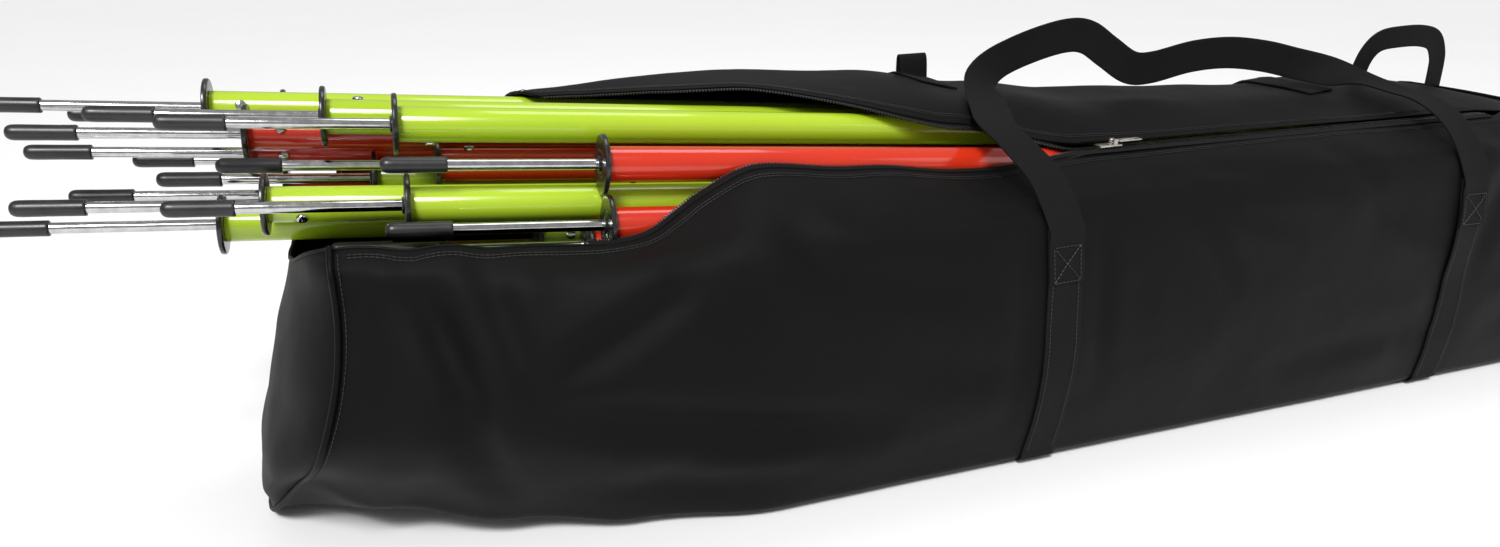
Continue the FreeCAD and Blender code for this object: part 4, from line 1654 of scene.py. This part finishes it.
    def loop_tab(self) -> None:
        """Fold the small tab that stands up at the back of the crown."""
        crown = blend_value(self.cloth.crown_rise, 45)
        side = Vector((1, 0, 0.02))
        path = [
            (Vector((46, 122, crown - 6)), side), (Vector((46, 123, crown + 6)), side),
            (Vector((46, 124.5, crown + 18)), side), (Vector((46, 127, crown + 25)), side),
            (Vector((46, 130.5, crown + 26.5)), side), (Vector((46, 133, crown + 23)), side),
            (Vector((46, 133.5, crown + 12)), side), (Vector((46, 133, crown - 8)), side),
        ]
        narrow = Webbing(self.cloth, half=18.0)
        Ribbon("loop_tab_band", narrow.edges_along(path, 5), self.thickness, Slot.WEBBING,
               6).build("bag", ["loop_tab"])

    def build(self) -> None:
        """Sew all the webbing."""
        rows = Stitching(thread=0.42)
        for name, station, node in (("band_near_mouth", self.stations[0], "strap_left"),
                                    ("band_far_end", self.stations[1], "strap_right")):
            self.band(name, station, node, rows)
        self.carry_handle(rows)
        self.grab_handle()
        self.loop_tab()
        rows.finish("webbing_stitching", "bag")
        LOG.info("webbing: two bands, two handles and a tab")


# ---------------------------------------------------------------------------------------------
# The studio.
# ---------------------------------------------------------------------------------------------


@dataclass
class Studio:
    """A pale floor, soft lights and the camera."""

    camera_place: tuple[float, float, float] = (-0.545, -0.925, 0.540)
    camera_turn: tuple[float, float, float] = (70.0, 0.0, -20.0)
    lens: float = 23.4
    sensor: float = 36.0
    floor_size: float = 30.0
    sky: float = 0.38
    view: str = "Standard"
    sun: tuple[float, float] = (2.3, 14.0)
    sun_turn: tuple[float, float, float] = (38.0, 0.0, -28.0)
    lamps: tuple[tuple[str, tuple[float, float, float], tuple[float, float, float], float,
                       float], ...] = (
        ("key", (-1.5, -2.2, 2.6), (-0.1, 0, 0.2), 0.9, 26.0),
        ("fill", (2.2, -2.0, 1.6), (0.2, 0, 0.2), 1.6, 10.0),
        ("top", (0.1, 0.6, 3.0), (0.1, 0, 0.2), 1.2, 16.0),
    )

    def build(self) -> None:
        """Lay the floor and set the lamps and the camera."""
        shape = bmesh.new()
        bmesh.ops.create_grid(shape, x_segments=2, y_segments=2, size=self.floor_size / 2)
        bmesh.ops.translate(shape, vec=(0, 0, -0.0002), verts=shape.verts)
        mesh = bpy.data.meshes.new("studio_floor")
        shape.to_mesh(mesh)
        shape.free()
        mesh.materials.append(PlainFloor().material())
        floor = bpy.data.objects.new("studio_floor", mesh)
        bpy.context.scene.collection.objects.link(floor)
        world = bpy.data.worlds.new("studio_sky")
        world.use_nodes = True
        background = world.node_tree.nodes["Background"]
        background.inputs["Color"].default_value = (1.0, 1.0, 1.0, 1.0)
        background.inputs["Strength"].default_value = self.sky
        bpy.context.scene.world = world
        for name, place, aim, size, power in self.lamps:
            light = bpy.data.lights.new(name, "AREA")
            light.shape = "SQUARE"
            light.size = size
            light.energy = power
            lamp = bpy.data.objects.new(name, light)
            lamp.location = place
            direction = Vector(aim) - Vector(place)
            lamp.rotation_euler = direction.to_track_quat("-Z", "Y").to_euler()
            bpy.context.scene.collection.objects.link(lamp)
        sun = bpy.data.lights.new("window", "SUN")
        sun.energy, angle = self.sun
        sun.angle = math.radians(angle)
        window = bpy.data.objects.new("window", sun)
        window.rotation_euler = [math.radians(turn) for turn in self.sun_turn]
        bpy.context.scene.collection.objects.link(window)
        bpy.context.scene.view_settings.view_transform = self.view
        camera = bpy.data.cameras.new("camera")
        camera.lens = self.lens
        camera.sensor_width = self.sensor
        camera.clip_start = 0.01
        holder = bpy.data.objects.new("camera", camera)
        holder.location = self.camera_place
        holder.rotation_euler = [math.radians(angle) for angle in self.camera_turn]
        bpy.context.scene.collection.objects.link(holder)
        bpy.context.scene.camera = holder
        LOG.info("studio: floor, %d lamps and camera", len(self.lamps))


def main() -> None:
    """Build every piece in order and note the sizes."""
    logging.basicConfig(level=logging.INFO, format="%(message)s")
    Studio().build()
    PoleBundle().build()
    cloth = BagCloth()
    cloth.build()
    Seams(cloth).build()
    Zip(cloth).build()
    Webbing(cloth).build()


if __name__ == "__main__":
    main()
